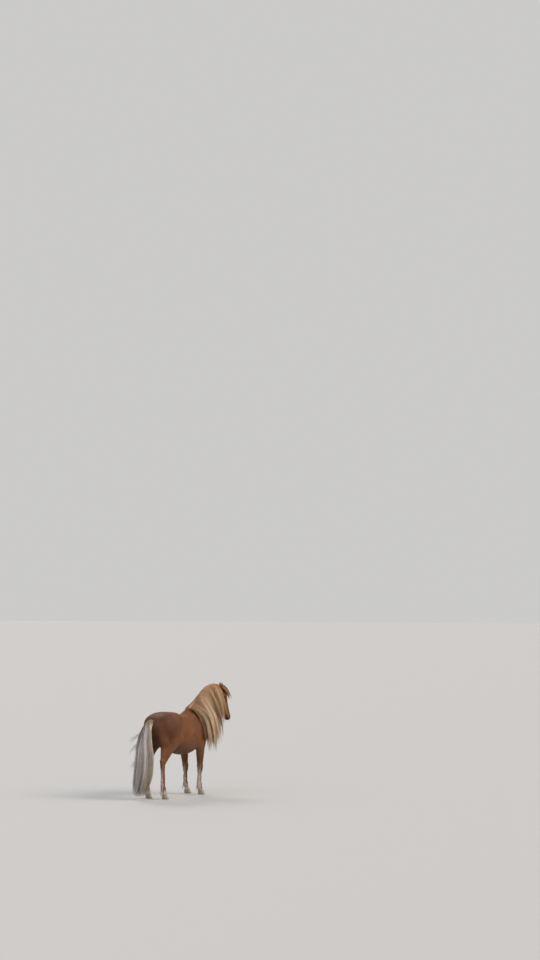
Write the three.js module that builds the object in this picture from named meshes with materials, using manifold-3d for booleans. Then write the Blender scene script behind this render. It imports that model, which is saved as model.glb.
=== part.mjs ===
// A life-size Icelandic horse, standing with its head high and turned to its right.
// Millimetres, +X towards the breast, +Y to the horse's left, +Z up, and the floor at Z = 0.
import * as THREE from "three";
import { mergeVertices } from "three/addons/utils/BufferGeometryUtils.js";
import Module from "manifold-3d";

const wasm = await Module();
wasm.setup();

// Driving dimensions
const gap = 0.3;
const hairGap = 0.2;
const grid = 0.001;
const bellyBottom = 655;
const shoulderWidth = 158;
const foreFootOut = 147;
const foreFootBack = 14;
const hindFootBack = 632 - 42;
const hindFootOut = 154;
const leftForeStep = 40;
const headLength = 540;
const headScale = 0.96;
const headPitch = THREE.MathUtils.degToRad(68);
const headTurn = THREE.MathUtils.degToRad(-43);
const poll = [832, -208, 1660];
const foreCut = 705;
const hindCut = 765;
const coronetHeight = 74;
const eyeRadius = 21;
const eyePlace = [150, 67, 46];
const earHeight = 122;
const maneCount = 18;
const maneShortCount = 8;
const forelockCount = 7;
const tailCount = 19;
const featherCount = 5;
const tailClear = 16;
const tailCoreReach = 0.52;

// Small vector helpers on plain arrays
const add = (a, b, k = 1) => [a[0] + b[0] * k, a[1] + b[1] * k, a[2] + b[2] * k];
const sub = (a, b) => [a[0] - b[0], a[1] - b[1], a[2] - b[2]];
const dot = (a, b) => a[0] * b[0] + a[1] * b[1] + a[2] * b[2];
const cross = (a, b) => [a[1] * b[2] - a[2] * b[1], a[2] * b[0] - a[0] * b[2], a[0] * b[1] - a[1] * b[0]];
const size = (a) => Math.hypot(a[0], a[1], a[2]);
const unit = (a) => add([0, 0, 0], a, 1 / (size(a) || 1));
const mix = (a, b, t) => a + (b - a) * t;
const mixPoint = (a, b, t) => add(a, sub(b, a), t);
const clamp = (v, low, high) => Math.min(high, Math.max(low, v));

// A seeded random draw, the same in every run.
function drawer(seed) {
  let state = seed;
  return () => {
    state = (state * 1664525 + 1013904223) % 4294967296;
    return state / 4294967296;
  };
}

// A smooth curve through rows of numbers, at place t from 0 to 1 along the rows.
function along(rows, t) {
  const last = rows.length - 1;
  const place = clamp(t, 0, 1) * last;
  const i = Math.min(last - 1, Math.floor(place));
  const f = place - i;
  const before = rows[Math.max(0, i - 1)];
  const after = rows[Math.min(last, i + 2)];
  return rows[i].map((here, k) => {
    const next = rows[i + 1][k];
    const slopeHere = (next - before[k]) / 2;
    const slopeNext = (after[k] - here) / 2;
    const h = f * f * (3 - 2 * f);
    return here * (1 - h) + next * h + slopeHere * f * (1 - f) ** 2 - slopeNext * f * f * (1 - f);
  });
}

// Two distances joined with a fillet of about the given size.
function blend(a, b, fillet) {
  const h = Math.max(fillet - Math.abs(a - b), 0) / fillet;
  return Math.min(a, b) - (h * h * fillet) / 4;
}

// Distance to a rounded cone from one end to the other, squeezed across Y by the share flat.
function taper(p, { from, to, radii, flat = 1 }) {
  const axis = sub(to, from);
  const t = clamp(dot(sub(p, from), axis) / dot(axis, axis), 0, 1);
  const q = sub(p, add(from, axis, t));
  return Math.hypot(q[0], q[1] / flat, q[2]) * Math.sqrt(flat) - mix(radii[0], radii[1], t) * Math.sqrt(flat);
}

// Distance to an ellipsoid.
function ellipsoid(p, centre, radii) {
  const q = sub(p, centre);
  const near = Math.hypot(q[0] / radii[0], q[1] / radii[1], q[2] / radii[2]);
  const slope = Math.hypot(q[0] / radii[0] ** 2, q[1] / radii[1] ** 2, q[2] / radii[2] ** 2);
  return slope > 1e-9 ? (near * (near - 1)) / slope : -Math.min(...radii);
}

// The trunk in sections across the body: place, top line, belly line, half width, narrowing to the top
const trunkRows = [
  [-742, 1150, 1035, 55, 0.0],
  [-640, 1262, 960, 172, 0.05],
  [-520, 1330, 895, 226, 0.12],
  [-400, 1353, 850, 244, 0.16],
  [-280, 1345, 785, 248, 0.22],
  [-160, 1320, 712, 262, 0.24],
  [-40, 1298, 668, 278, 0.24],
  [80, 1292, bellyBottom, 282, 0.28],
  [200, 1315, 672, 270, 0.42],
  [320, 1362, 702, 238, 0.56],
  [440, 1350, 735, 205, 0.52],
  [540, 1250, 800, 172, 0.3],
  [640, 1090, 905, 90, 0.0],
];
const trunkStart = trunkRows[0][0];
const trunkEnd = trunkRows[trunkRows.length - 1][0];

// The share along the rows at which place x lies: the rows aren't evenly spaced at their ends.
function rowShare(x) {
  const last = trunkRows.length - 1;
  for (let i = 0; i < last; i++) {
    const [a, b] = [trunkRows[i][0], trunkRows[i + 1][0]];
    if (x <= b || i === last - 1) return clamp((i + (x - a) / (b - a)) / last, 0, 1);
  }
  return 1;
}

function trunk(p) {
  const [, top, bottom, half, ridge] = along(trunkRows, rowShare(p[0]));
  const tall = (top - bottom) / 2;
  const up = (p[2] - (top + bottom) / 2) / tall;
  const wide = half * (1 - ridge * clamp(up, 0, 1) ** 1.5);
  const power = 2.25;
  const ring = (Math.abs(p[1] / wide) ** power + Math.abs(up) ** power) ** (1 / power);
  const beyond = Math.max(trunkStart - p[0], p[0] - trunkEnd, 0);
  return Math.hypot(Math.max(ring - 1, 0) * Math.min(half, tall), beyond) + Math.min(ring - 1, 0) * Math.min(half, tall);
}

// The neck's centreline with its half depth and half width, from inside the chest to the nape
const neckRows = [
  [330, 0, 1120, 235, 140],
  [465, -4, 1215, 218, 118],
  [584, -30, 1352, 186, 98],
  [668, -76, 1492, 154, 84],
  [733, -130, 1610, 134, 76],
  [800, -180, 1656, 112, 72],
];
const neckSteps = 10;
const neckJoints = Array.from({ length: neckSteps + 1 }, (_, i) => along(neckRows, i / neckSteps));

// The neck's own frame at a share of its length: forward, to the left, and out through the crest.
function neckFrame(share) {
  const here = along(neckRows, share);
  const forward = unit(sub(along(neckRows, share + 0.02), along(neckRows, share - 0.02)).slice(0, 3));
  const left = unit(cross([0, 0, 1], forward));
  return { centre: here.slice(0, 3), depth: here[3], width: here[4], forward, left, up: cross(forward, left) };
}

function neck(p) {
  let least = Infinity;
  for (let i = 0; i < neckSteps; i++) {
    const [a, b] = [neckJoints[i], neckJoints[i + 1]];
    const axis = sub(b, a);
    const t = clamp(dot(sub(p, a), axis) / dot(axis, axis), 0, 1);
    const q = sub(p, add(a, axis, t));
    const forward = unit(axis);
    const left = unit(cross([0, 0, 1], forward));
    const up = cross(forward, left);
    const [depth, width] = [mix(a[3], b[3], t), mix(a[4], b[4], t)];
    const high = dot(q, up) / depth;
    const side = dot(q, left) / (width * (1 - 0.5 * clamp(high, 0, 1) ** 1.5));
    const ring = Math.hypot(high, side, dot(q, forward) / depth) - 1;
    least = i ? blend(least, ring * width, 24) : ring * width;
  }
  return least;
}

// Muscles and bones of one side, given for the left: ends, radii there, squeeze across the body, fillet
const shoulderForms = [
  { from: [250, 104, 1215], to: [520, shoulderWidth, 1010], radii: [86, 94], flat: 0.7, fillet: 90 },
  { from: [545, 148, 985], to: [385, 166, 830], radii: [88, 84], flat: 0.8, fillet: 45 },
  { from: [585, 66, 985], to: [515, 92, 830], radii: [76, 58], fillet: 50 },
  { from: [255, 140, 1060], to: [335, 164, 815], radii: [112, 60], flat: 0.62, fillet: 50 },
];
const haunchForms = [
  { from: [-270, 132, 1232], to: [-560, 116, 1165], radii: [92, 130], flat: 0.95, fillet: 90 },
  { from: [-475, 140, 1120], to: [-385, 165, 925], radii: [182, 118], flat: 0.66, fillet: 60 },
  { from: [-672, 98, 1120], to: [-615, 135, 890], radii: [88, 92], flat: 0.8, fillet: 55 },
  { from: [-350, 172, 910], to: [-400, 170, 845], radii: [78, 84], flat: 0.78, fillet: 45 },
];

// The bones of a foreleg and of a hind leg, with the hoof this far forward of a square stance
const foreLegForms = (step) => foreLegSquare(step - foreFootBack);
const foreLegSquare = (step) => [
  { from: [388, 163, 805], to: [402 + step * 0.5, 150, 470], radii: [88, 50], flat: 0.86, fillet: 40 },
  { from: [409 + step * 0.5, 148, 455], to: [408 + step * 0.6, 148, 395], radii: [50, 45], flat: 0.94, fillet: 20 },
  { from: [402 + step * 0.6, 147, 400], to: [400 + step, foreFootOut, 175], radii: [31, 30], fillet: 16 },
  { from: [379 + step * 0.6, 147, 385], to: [373 + step, foreFootOut, 180], radii: [18, 18], fillet: 20 },
  { from: [398 + step, foreFootOut, 162], to: [390 + step, foreFootOut, 142], radii: [39, 38], fillet: 18 },
  { from: [402 + step, foreFootOut, 140], to: [436 + step, foreFootOut, 84], radii: [34, 40], fillet: 18 },
];
const hindLegForms = () => [
  { from: [-440, 163, 865], to: [-628, 155, 592], radii: [118, 54], flat: 0.7, fillet: 45 },
  { from: [-600, 142, 880], to: [-702, 154, 600], radii: [72, 20], flat: 0.7, fillet: 40 },
  { from: [-652, 154, 585], to: [-661, 154, 505], radii: [50, 42], flat: 0.84, fillet: 20 },
  { from: [-702, 154, 598], to: [-688, 154, 520], radii: [22, 22], fillet: 22 },
  { from: [-660, 154, 505], to: [-640, hindFootOut, 185], radii: [36, 32], fillet: 18 },
  { from: [-683, 154, 500], to: [-666, hindFootOut, 190], radii: [18, 17], fillet: 20 },
  { from: [-640, hindFootOut, 166], to: [-648, hindFootOut, 146], radii: [41, 40], fillet: 18 },
  { from: [-635, hindFootOut, 142], to: [-598, hindFootOut + 3, 86], radii: [35, 41], fillet: 18 },
];

// A group of forms on both sides of the body, or only on the left (1) or the right (-1).
function forms(p, list, sides = [1, -1]) {
  let least = 1e6;
  for (const side of sides) {
    const q = [p[0], p[1] * side, p[2]];
    for (const form of list) least = blend(least, taper(q, form), form.fillet);
  }
  return least;
}

// The head's frame: down the face from the poll, out through the forehead, and to its left
const faceTurn = [Math.cos(headTurn), Math.sin(headTurn), 0];
const headAxes = {
  down: add([0, 0, -Math.sin(headPitch)], faceTurn, Math.cos(headPitch)),
  left: [-faceTurn[1], faceTurn[0], 0],
  out: add([0, 0, Math.cos(headPitch)], faceTurn, Math.sin(headPitch)),
};
const toHead = (p) => {
  const q = add([0, 0, 0], sub(p, poll), 1 / headScale);
  return [dot(q, headAxes.down), dot(q, headAxes.left), dot(q, headAxes.out)];
};
const fromHead = (q) => {
  const down = add(poll, headAxes.down, q[0] * headScale);
  return add(add(down, headAxes.left, q[1] * headScale), headAxes.out, q[2] * headScale);
};

// Bones and flesh of the head in its own frame, the paired ones given for the left
const lips = headLength - 18;
const headMiddle = [
  { from: [28, 0, 22], to: [110, 0, 30], radii: [76, 78], fillet: 20 },
  { from: [120, 0, 42], to: [180, 0, 40], radii: [68, 58], fillet: 40 },
  { from: [180, 0, 36], to: [462, 0, 6], radii: [58, 37], flat: 0.86, fillet: 30 },
  { from: [180, 0, -18], to: [440, 0, -18], radii: [64, 42], flat: 0.84, fillet: 34 },
  { from: [470, 0, -8], to: [lips - 22, 0, -16], radii: [46, 41], fillet: 26 },
  { from: [lips - 22, 0, -24], to: [lips - 14, 0, -34], radii: [31, 24], flat: 1.2, fillet: 18 },
  { from: [462, 0, -46], to: [lips - 30, 0, -52], radii: [25, 24], flat: 1.15, fillet: 12 },
];
const headPaired = [
  { from: [98, 38, -46], to: [158, 36, -62], radii: [84, 76], flat: 0.42, fillet: 26 },
  { from: [190, 26, -82], to: [440, 12, -44], radii: [40, 22], fillet: 26 },
  { from: [120, 70, 12], to: [290, 52, -2], radii: [22, 13], fillet: 26 },
  { from: [128, 64, 50], to: [158, 64, 44], radii: [30, 28], fillet: 22 },
  { from: [488, 30, 8], to: [506, 31, 2], radii: [22, 20], fillet: 16 },
];

function head(p) {
  const q = toHead(p);
  let least = 1e6;
  for (const form of headMiddle) least = blend(least, taper(q, form), form.fillet);
  for (const side of [1, -1]) {
    const mirrored = [q[0], q[1] * side, q[2]];
    for (const form of headPaired) least = blend(least, taper(mirrored, form), form.fillet);
  }
  return least * headScale;
}

// Signed distance to the whole body, negative inside.
const leftStep = foreLegForms(leftForeStep);
const rightStep = foreLegForms(0);
const hindStep = hindLegForms();
function legs(p) {
  const fore = Math.min(forms(p, leftStep, [1]), forms(p, rightStep, [-1]));
  return Math.min(fore, forms(p, hindStep));
}
function body(p) {
  let d = blend(trunk(p), forms(p, haunchForms), 55);
  d = blend(d, forms(p, shoulderForms), 50);
  d = blend(d, neck(p), 115);
  d = blend(d, legs(p), 38);
  return blend(d, head(p), 34);
}

// The way out of the body at a point: the field's slope there.
function outward(field, p, reach = 3) {
  return unit([0, 1, 2].map((k) => {
    const e = [0, 0, 0];
    e[k] = reach;
    return field(add(p, e)) - field(sub(p, e));
  }));
}

// A closed mesh of the surface where a field is zero: one vertex in each cell that the surface
// passes through, at the mean of the crossings on its edges, and one quad across each crossed edge.
function netOf(field, low, high, cell) {
  const n = [0, 1, 2].map((k) => Math.ceil((high[k] - low[k]) / cell) + 2);
  const index = (i, j, k) => (k * n[1] + j) * n[0] + i;
  const values = new Float32Array(n[0] * n[1] * n[2]);
  const at = (i, j, k) => [low[0] + (i - 0.5) * cell, low[1] + (j - 0.5) * cell, low[2] + (k - 0.5) * cell];
  const inner = (v, k) => v > 0 && v < n[k] - 1;
  for (let k = 0; k < n[2]; k++)
    for (let j = 0; j < n[1]; j++)
      for (let i = 0; i < n[0]; i++)
        values[index(i, j, k)] = inner(i, 0) && inner(j, 1) && inner(k, 2) ? field(at(i, j, k)) : 1;
  const corners = [0, 1, 2, 3, 4, 5, 6, 7].map((c) => [c & 1, (c >> 1) & 1, c >> 2]);
  const edges = [];
  for (let a = 0; a < 8; a++)
    for (const bit of [1, 2, 4]) if (!(a & bit)) edges.push([a, a | bit]);
  const positions = [];
  const vertexOf = new Int32Array(values.length).fill(-1);
  for (let k = 0; k < n[2] - 1; k++)
    for (let j = 0; j < n[1] - 1; j++)
      for (let i = 0; i < n[0] - 1; i++) {
        const v = corners.map(([x, y, z]) => values[index(i + x, j + y, k + z)]);
        let [sum, count] = [[0, 0, 0], 0];
        for (const [a, b] of edges) {
          if (v[a] < 0 === v[b] < 0) continue;
          sum = add(sum, mixPoint(corners[a], corners[b], v[a] / (v[a] - v[b])));
          count++;
        }
        if (!count) continue;
        vertexOf[index(i, j, k)] = positions.length;
        positions.push(add(at(i, j, k), sum, cell / count));
      }
  const faces = [];
  const strides = [1, n[0], n[0] * n[1]];
  for (let k = 0; k < n[2] - 1; k++)
    for (let j = 0; j < n[1] - 1; j++)
      for (let i = 0; i < n[0] - 1; i++)
        for (let axis = 0; axis < 3; axis++) {
          const here = index(i, j, k);
          const [a, b] = [values[here] < 0, values[here + strides[axis]] < 0];
          if (a === b) continue;
          const [u, w] = [strides[(axis + 1) % 3], strides[(axis + 2) % 3]];
          const ring = [here - u - w, here - w, here, here - u].map((c) => vertexOf[c]);
          if (!a) ring.reverse();
          const [p, q, r, s] = ring.map((c) => positions[c]);
          if (size(sub(p, r)) < size(sub(q, s))) faces.push(ring[0], ring[1], ring[2], ring[0], ring[2], ring[3]);
          else faces.push(ring[1], ring[2], ring[3], ring[1], ring[3], ring[0]);
        }
  return solid(positions, faces);
}

// The same, on the first grid that leaves no pinched edge.
function skinOf(field, low, high, cell) {
  for (let nudge = 0; nudge < 12; nudge++) {
    const made = netOf(field, low.map((v) => v - 2.3 * nudge), high, cell);
    if (twoFaced(made)) return made;
  }
  throw new Error("a pinched edge stays in the skin");
}

// A solid with locks joined on one by one, each shifted a little where it would pinch an edge.
function joined(base, locks) {
  return locks.reduce((whole, one) => {
    for (let shift = 0; shift < 6; shift++) {
      const next = whole.add(one.translate([1.7 * shift, -1.3 * shift, 0.9 * shift]));
      if (twoFaced(next)) return next;
    }
    return whole;
  }, settled(base));
}

// A solid from points and triangles.
function solid(positions, faces) {
  return new wasm.Manifold(new wasm.Mesh({
    numProp: 3,
    vertProperties: new Float32Array(positions.flat()),
    triVerts: new Uint32Array(faces),
  }));
}

// A solid from a closed three.js geometry, placed by a matrix.
function solidOf(geometry, matrix = new THREE.Matrix4()) {
  const bare = geometry.clone();
  bare.deleteAttribute("normal");
  bare.deleteAttribute("uv");
  const merged = mergeVertices(bare.applyMatrix4(matrix), 1e-3);
  return new wasm.Manifold(new wasm.Mesh({
    numProp: 3,
    vertProperties: merged.attributes.position.array,
    triVerts: new Uint32Array(merged.index.array),
  }));
}

// A solid skinned over rings of points, closed by a fan at each end; a tip draws the last fan out.
function skinned(rings, tip) {
  const count = rings[0].length;
  const positions = rings.flat();
  const faces = [];
  rings.slice(1).forEach((_, r) => {
    for (let i = 0; i < count; i++) {
      const [a, b] = [r * count + i, r * count + ((i + 1) % count)];
      faces.push(a, b, b + count, a, b + count, a + count);
    }
  });
  for (const [ring, first] of [[0, true], [rings.length - 1, false]]) {
    const middle = rings[ring].reduce((sum, p) => add(sum, p, 1 / count), [0, 0, 0]);
    positions.push(!first && tip ? tip : middle);
    for (let i = 0; i < count; i++) {
      const [a, b] = [ring * count + i, ring * count + ((i + 1) % count)];
      faces.push(...(first ? [positions.length - 1, b, a] : [positions.length - 1, a, b]));
    }
  }
  const made = solid(positions, faces);
  return made.volume() < 0 ? solid(positions, faces.reverse()) : made;
}

// Points rounded to a grid, with equal ones made one and collapsed faces left out.
function rounded(points, faces, grid) {
  const places = new Map();
  const kept = [];
  const index = points.map((p) => {
    const q = p.map((v) => Math.round(v / grid) * grid);
    const key = q.map((v) => Math.round(v / grid)).join();
    if (!places.has(key)) {
      places.set(key, kept.length);
      kept.push(q);
    }
    return places.get(key);
  });
  const whole = [];
  for (let i = 0; i < faces.length; i += 3) {
    const [a, b, c] = [index[faces[i]], index[faces[i + 1]], index[faces[i + 2]]];
    if (a !== b && b !== c && c !== a) whole.push(a, b, c);
  }
  return solid(kept, whole);
}

// The largest closed surface of a solid, without loose pieces or sealed hollows.
function largest(made, grid) {
  const { vertProperties, triVerts } = made.getMesh();
  const group = Array.from({ length: vertProperties.length / 3 }, (_, i) => i);
  const root = (i) => {
    while (group[i] !== i) i = group[i] = group[group[i]];
    return i;
  };
  for (let i = 0; i < triVerts.length; i += 3)
    for (const k of [1, 2]) group[root(triVerts[i + k])] = root(triVerts[i]);
  const pieces = new Map();
  for (let i = 0; i < triVerts.length; i += 3) {
    const key = root(triVerts[i]);
    if (!pieces.has(key)) pieces.set(key, []);
    pieces.get(key).push(...triVerts.slice(i, i + 3));
  }
  const point = (v) => [...vertProperties.slice(3 * v, 3 * v + 3)];
  const volume = (faces) => {
    let sum = 0;
    for (let i = 0; i < faces.length; i += 3)
      sum += dot(point(faces[i]), cross(point(faces[i + 1]), point(faces[i + 2]))) / 6;
    return sum;
  };
  const kept = [...pieces.values()].reduce((best, one) => (volume(one) > volume(best) ? one : best));
  const used = [...new Set(kept)];
  const place = new Map(used.map((v, i) => [v, i]));
  return rounded(used.map(point), kept.map((v) => place.get(v)), grid);
}

// Whether each edge joins exactly two faces once points in the same place are one.
function twoFaced(made) {
  const { vertProperties, triVerts } = made.getMesh();
  const name = (v) => [0, 1, 2].map((k) => Math.round(vertProperties[3 * v + k] / grid)).join();
  const counts = new Map();
  for (let i = 0; i < triVerts.length; i += 3)
    for (let k = 0; k < 3; k++) {
      const ends = [name(triVerts[i + k]), name(triVerts[i + ((k + 1) % 3)])].sort().join("|");
      counts.set(ends, (counts.get(ends) || 0) + 1);
    }
  return [...counts.values()].every((count) => count === 2);
}

// The mean way out of a solid's faces at each of its points.
function pointNormals(points, triVerts) {
  const ways = points.map(() => [0, 0, 0]);
  for (let i = 0; i < triVerts.length; i += 3) {
    const [a, b, c] = [...triVerts.slice(i, i + 3)];
    const normal = cross(sub(points[b], points[a]), sub(points[c], points[a]));
    for (const v of [a, b, c]) ways[v] = add(ways[v], normal);
  }
  return ways.map(unit);
}
const pointsOf = ({ vertProperties }) =>
  Array.from({ length: vertProperties.length / 3 }, (_, i) => [...vertProperties.slice(3 * i, 3 * i + 3)]);

// The largest closed surface, with points that touch at a pinched edge drawn a hair's breadth apart.
function settled(made) {
  let kept = largest(made, 10 * grid);
  for (let pass = 0; pass < 6; pass++) {
    kept = largest(kept, 10 * grid);
    if (twoFaced(kept)) return kept;
    const mesh = kept.getMesh();
    const points = pointsOf(mesh);
    const ways = pointNormals(points, mesh.triVerts);
    const names = points.map((p) => p.map((v) => Math.round(v / grid)).join());
    const seen = new Map();
    names.forEach((name) => seen.set(name, (seen.get(name) || 0) + 1));
    kept = solid(points.map((p, i) => (seen.get(names[i]) > 1 ? add(p, ways[i], -0.08) : p)), [...mesh.triVerts]);
  }
  throw new Error("a pinched edge stays");
}

// A solid with every point moved outward, to keep the gap to a neighbour.
function grown(made, by = gap) {
  const mesh = made.getMesh();
  const points = pointsOf(mesh);
  const ways = pointNormals(points, mesh.triVerts);
  return solid(points.map((p, i) => add(p, ways[i], by * 1.3)), [...mesh.triVerts]);
}

// An ellipsoid in the head's frame, its longest way turned across the face by the angle lean.
function headBall(centre, radii, lean = 0, sides = 12) {
  const turn = new THREE.Matrix4().makeBasis(...[headAxes.down, headAxes.left, headAxes.out]
    .map((axis) => new THREE.Vector3(...axis)));
  turn.multiply(new THREE.Matrix4().makeRotationX(lean));
  turn.setPosition(...fromHead(centre));
  turn.scale(new THREE.Vector3(...radii.map((r) => r * headScale)));
  return solidOf(new THREE.SphereGeometry(1, sides, Math.round(sides * 0.66)), turn);
}

// A box between two corners, as a solid.
function block(low, high) {
  const spans = sub(high, low);
  const middle = mixPoint(low, high, 0.5);
  return solidOf(new THREE.BoxGeometry(...spans), new THREE.Matrix4().makeTranslation(...middle));
}

// A big block whose one face passes through a point, with the block on the side that the normal points to.
function behindPlane(point, normal) {
  const reach = 3000;
  const turn = new THREE.Quaternion().setFromUnitVectors(new THREE.Vector3(0, 0, 1), new THREE.Vector3(...normal));
  const centre = add(point, normal, reach / 2);
  const matrix = new THREE.Matrix4().compose(new THREE.Vector3(...centre), turn, new THREE.Vector3(1, 1, 1));
  return solidOf(new THREE.BoxGeometry(reach, reach, reach), matrix);
}

// Where the neck leaves the trunk, and where the head leaves the neck
const neckBase = { point: [452, 0, 1228], normal: unit([0.78, 0, 0.63]) };
const nape = {
  point: fromHead([-26, 0, 6]),
  normal: unit(add(add([0, 0, 0], headAxes.down, 0.72), headAxes.out, 0.69)),
};

// A leg from just under its cut down to the coronet, in level rings found by casting rays at the field.
function legSkin(list, side, top, levels, sides) {
  const field = (p) => forms(p, list, [side]);
  const rings = levels.map((share) => {
    const z = mix(top, coronetHeight + 6, share);
    let [near, middle] = [1e9, null];
    for (const form of list) {
      const t = clamp((z - form.from[2]) / (form.to[2] - form.from[2]), 0, 1);
      const p = mixPoint(form.from, form.to, t);
      const d = taper([p[0], p[1], z], form) + (p[2] - z) ** 2;
      if (d < near) [near, middle] = [d, [p[0], p[1] * side, z]];
    }
    return Array.from({ length: sides }, (_, i) => {
      const angle = (2 * Math.PI * (i + 0.5)) / sides;
      const way = [Math.cos(angle), Math.sin(angle), 0];
      let [inside, outside] = [0, 190];
      for (let step = 0; step < 190; step += 6)
        if (field(add(middle, way, step)) > 0) {
          [inside, outside] = [Math.max(0, step - 6), step];
          break;
        }
      for (let k = 0; k < 12; k++) {
        const half = (inside + outside) / 2;
        if (field(add(middle, way, half)) < 0) inside = half;
        else outside = half;
      }
      return add(middle, way, inside);
    });
  });
  return skinned(rings);
}

// A hoof: a slanted wall that widens to the ground, flat below and domed at the heel.
function hoof(centre, length, width) {
  const sides = 16;
  const rings = [[0, 1, 0], [coronetHeight * 0.5, 0.9, -16], [coronetHeight - 8, 0.78, -32]];
  return skinned(rings.map(([z, share, back]) => Array.from({ length: sides }, (_, i) => {
    const angle = (2 * Math.PI * i) / sides;
    const heel = Math.cos(angle) < 0 ? 0.8 : 1;
    const rise = z * (1 + 0.22 * Math.cos(angle)) + (z ? 3 : 0);
    return [
      centre[0] + back + Math.cos(angle) * (length / 2) * share * heel,
      centre[1] + Math.sin(angle) * (width / 2) * share,
      rise,
    ];
  })));
}

// A lock of hair: a flat lens carried along a path, widest in its upper half and tapering to a point.
function lock(path, ways, width, thick) {
  const last = path.length - 1;
  const rings = path.slice(0, last).map((p, i) => {
    const along = unit(sub(path[i + 1], path[Math.max(0, i - 1)]));
    const across = unit(cross(along, ways[i]));
    const out = cross(across, along);
    const share = i / last;
    const full = Math.min(1, 0.7 + share * 1.6) * (1 - share ** 4);
    const [w, t] = [(width * full) / 2, (thick * Math.sqrt(full)) / 2];
    return [add(p, across, w), add(p, out, t), add(p, across, -w), add(p, out, -t)];
  });
  return skinned(rings, path[last]);
}

// The path of a lock that falls from a root over the body, kept this far clear of the skin. It is drawn along the comb
// above the height where it hangs free, and straight down below that.
function fall({ root, way, length, steps, clear, droop, comb = [0, 0, -1], free = 0 }) {
  let [p, heading] = [root, way];
  let out = outward(body, root);
  const path = [add(root, out, -12)];
  const ways = [out];
  const fine = steps * 5;
  for (let i = 1; i <= fine; i++) {
    const before = p;
    const pull = mixPoint([0, 0, -1], comb, clamp((p[2] - free + 100) / 200, 0, 1));
    heading = unit(add(heading, unit(pull), droop));
    p = add(p, heading, length / fine);
    const depth = body(p);
    const keep = clear * Math.min(1, i / 4);
    if (depth < 60) out = unit(mixPoint(out, outward(body, p, 8), 0.4));
    if (depth < keep) p = add(p, outward(body, p, 8), keep - depth);
    heading = unit(sub(p, before));
    if (i % 5 && i !== 2) continue;
    path.push(p);
    ways.push(out);
  }
  return { path, ways };
}

// The skin's place on the way out from a point inside the body.
function onSkin(inside, way) {
  let [near, far] = [0, 400];
  for (let i = 0; i < 16; i++) {
    const half = (near + far) / 2;
    if (body(add(inside, way, half)) < 0) near = half;
    else far = half;
  }
  return add(inside, way, near);
}

// The mane: a long fall on the right side of the crest, drawn forward over the cheek, and a shorter one on the left
// Lengths along the neck from the withers to the poll
const maneLengths = [[440], [700], [900], [970], [930], [830], [690]];
const maneSlants = [0.52, 0.32];
const maneFree = [1130, 1250];
const maneLeftShare = 0.42;
function maneLocks() {
  const draw = drawer(7);
  const made = [];
  for (const [side, count] of [[-1, maneCount], [1, maneShortCount]]) {
    for (let i = 0; i < count; i++) {
      const layer = i % 2;
      const share = mix(side < 0 ? 0.17 : 0.26, 0.97, (i + 0.35 + 0.3 * draw()) / count);
      const { centre, depth, forward, left, up } = neckFrame(share);
      const lean = unit(add(add([0, 0, 0], up, 1), left, side * (0.3 + 0.2 * layer)));
      const root = onSkin(add(centre, up, depth * 0.5), lean);
      const long = along(maneLengths, share)[0] * (side < 0 ? 1 : maneLeftShare) * (0.88 + 0.2 * draw());
      const way = unit(add(add(add([0, 0, 0], left, side), up, 0.3 + 0.3 * share), forward, 0.35 - 0.3 * share));
      const slant = mix(...maneSlants, share ** 2);
      const { path, ways } = fall({
        root, way, length: long, steps: 4, clear: 12 + 14 * layer + 4 * draw(), droop: 0.26,
        comb: side < 0 ? [slant, -0.06, -1] : [0.25, -0.1, -1], free: mix(...maneFree, share),
      });
      made.push(lock(path, ways, 110 + 30 * draw(), 22 + 6 * draw()));
    }
  }
  return made;
}

// The forelock, over the forehead between the eyes
function forelockLocks() {
  const draw = drawer(23);
  return Array.from({ length: forelockCount }, (_, i) => {
    const spread = (i / (forelockCount - 1)) * 2 - 1;
    const root = onSkin(fromHead([10 + 14 * (i % 2), spread * 30, 20]), headAxes.out);
    const way = unit(add(add(add([0, 0, 0], headAxes.down, 1), headAxes.left, spread * 0.35), headAxes.out, 0.05));
    const { path, ways } = fall({
      root, way, length: 190 + 60 * draw(), steps: 3, clear: 8 + 8 * (i % 2), droop: 0.25, comb: headAxes.down,
    });
    return lock(path, ways, 50 + 10 * draw(), 13);
  });
}

// The tail's centreline from the dock down, with its half depth and half width
const tailRows = [
  [-700, 0, 1222, 26, 30],
  [-792, 8, 1194, 42, 56],
  [-850, 34, 1085, 56, 94],
  [-876, 46, 885, 64, 132],
  [-888, 34, 640, 70, 176],
  [-890, 60, 400, 72, 184],
  [-890, 104, 180, 60, 150],
  [-890, 140, tailClear + 6, 40, 96],
];
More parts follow.
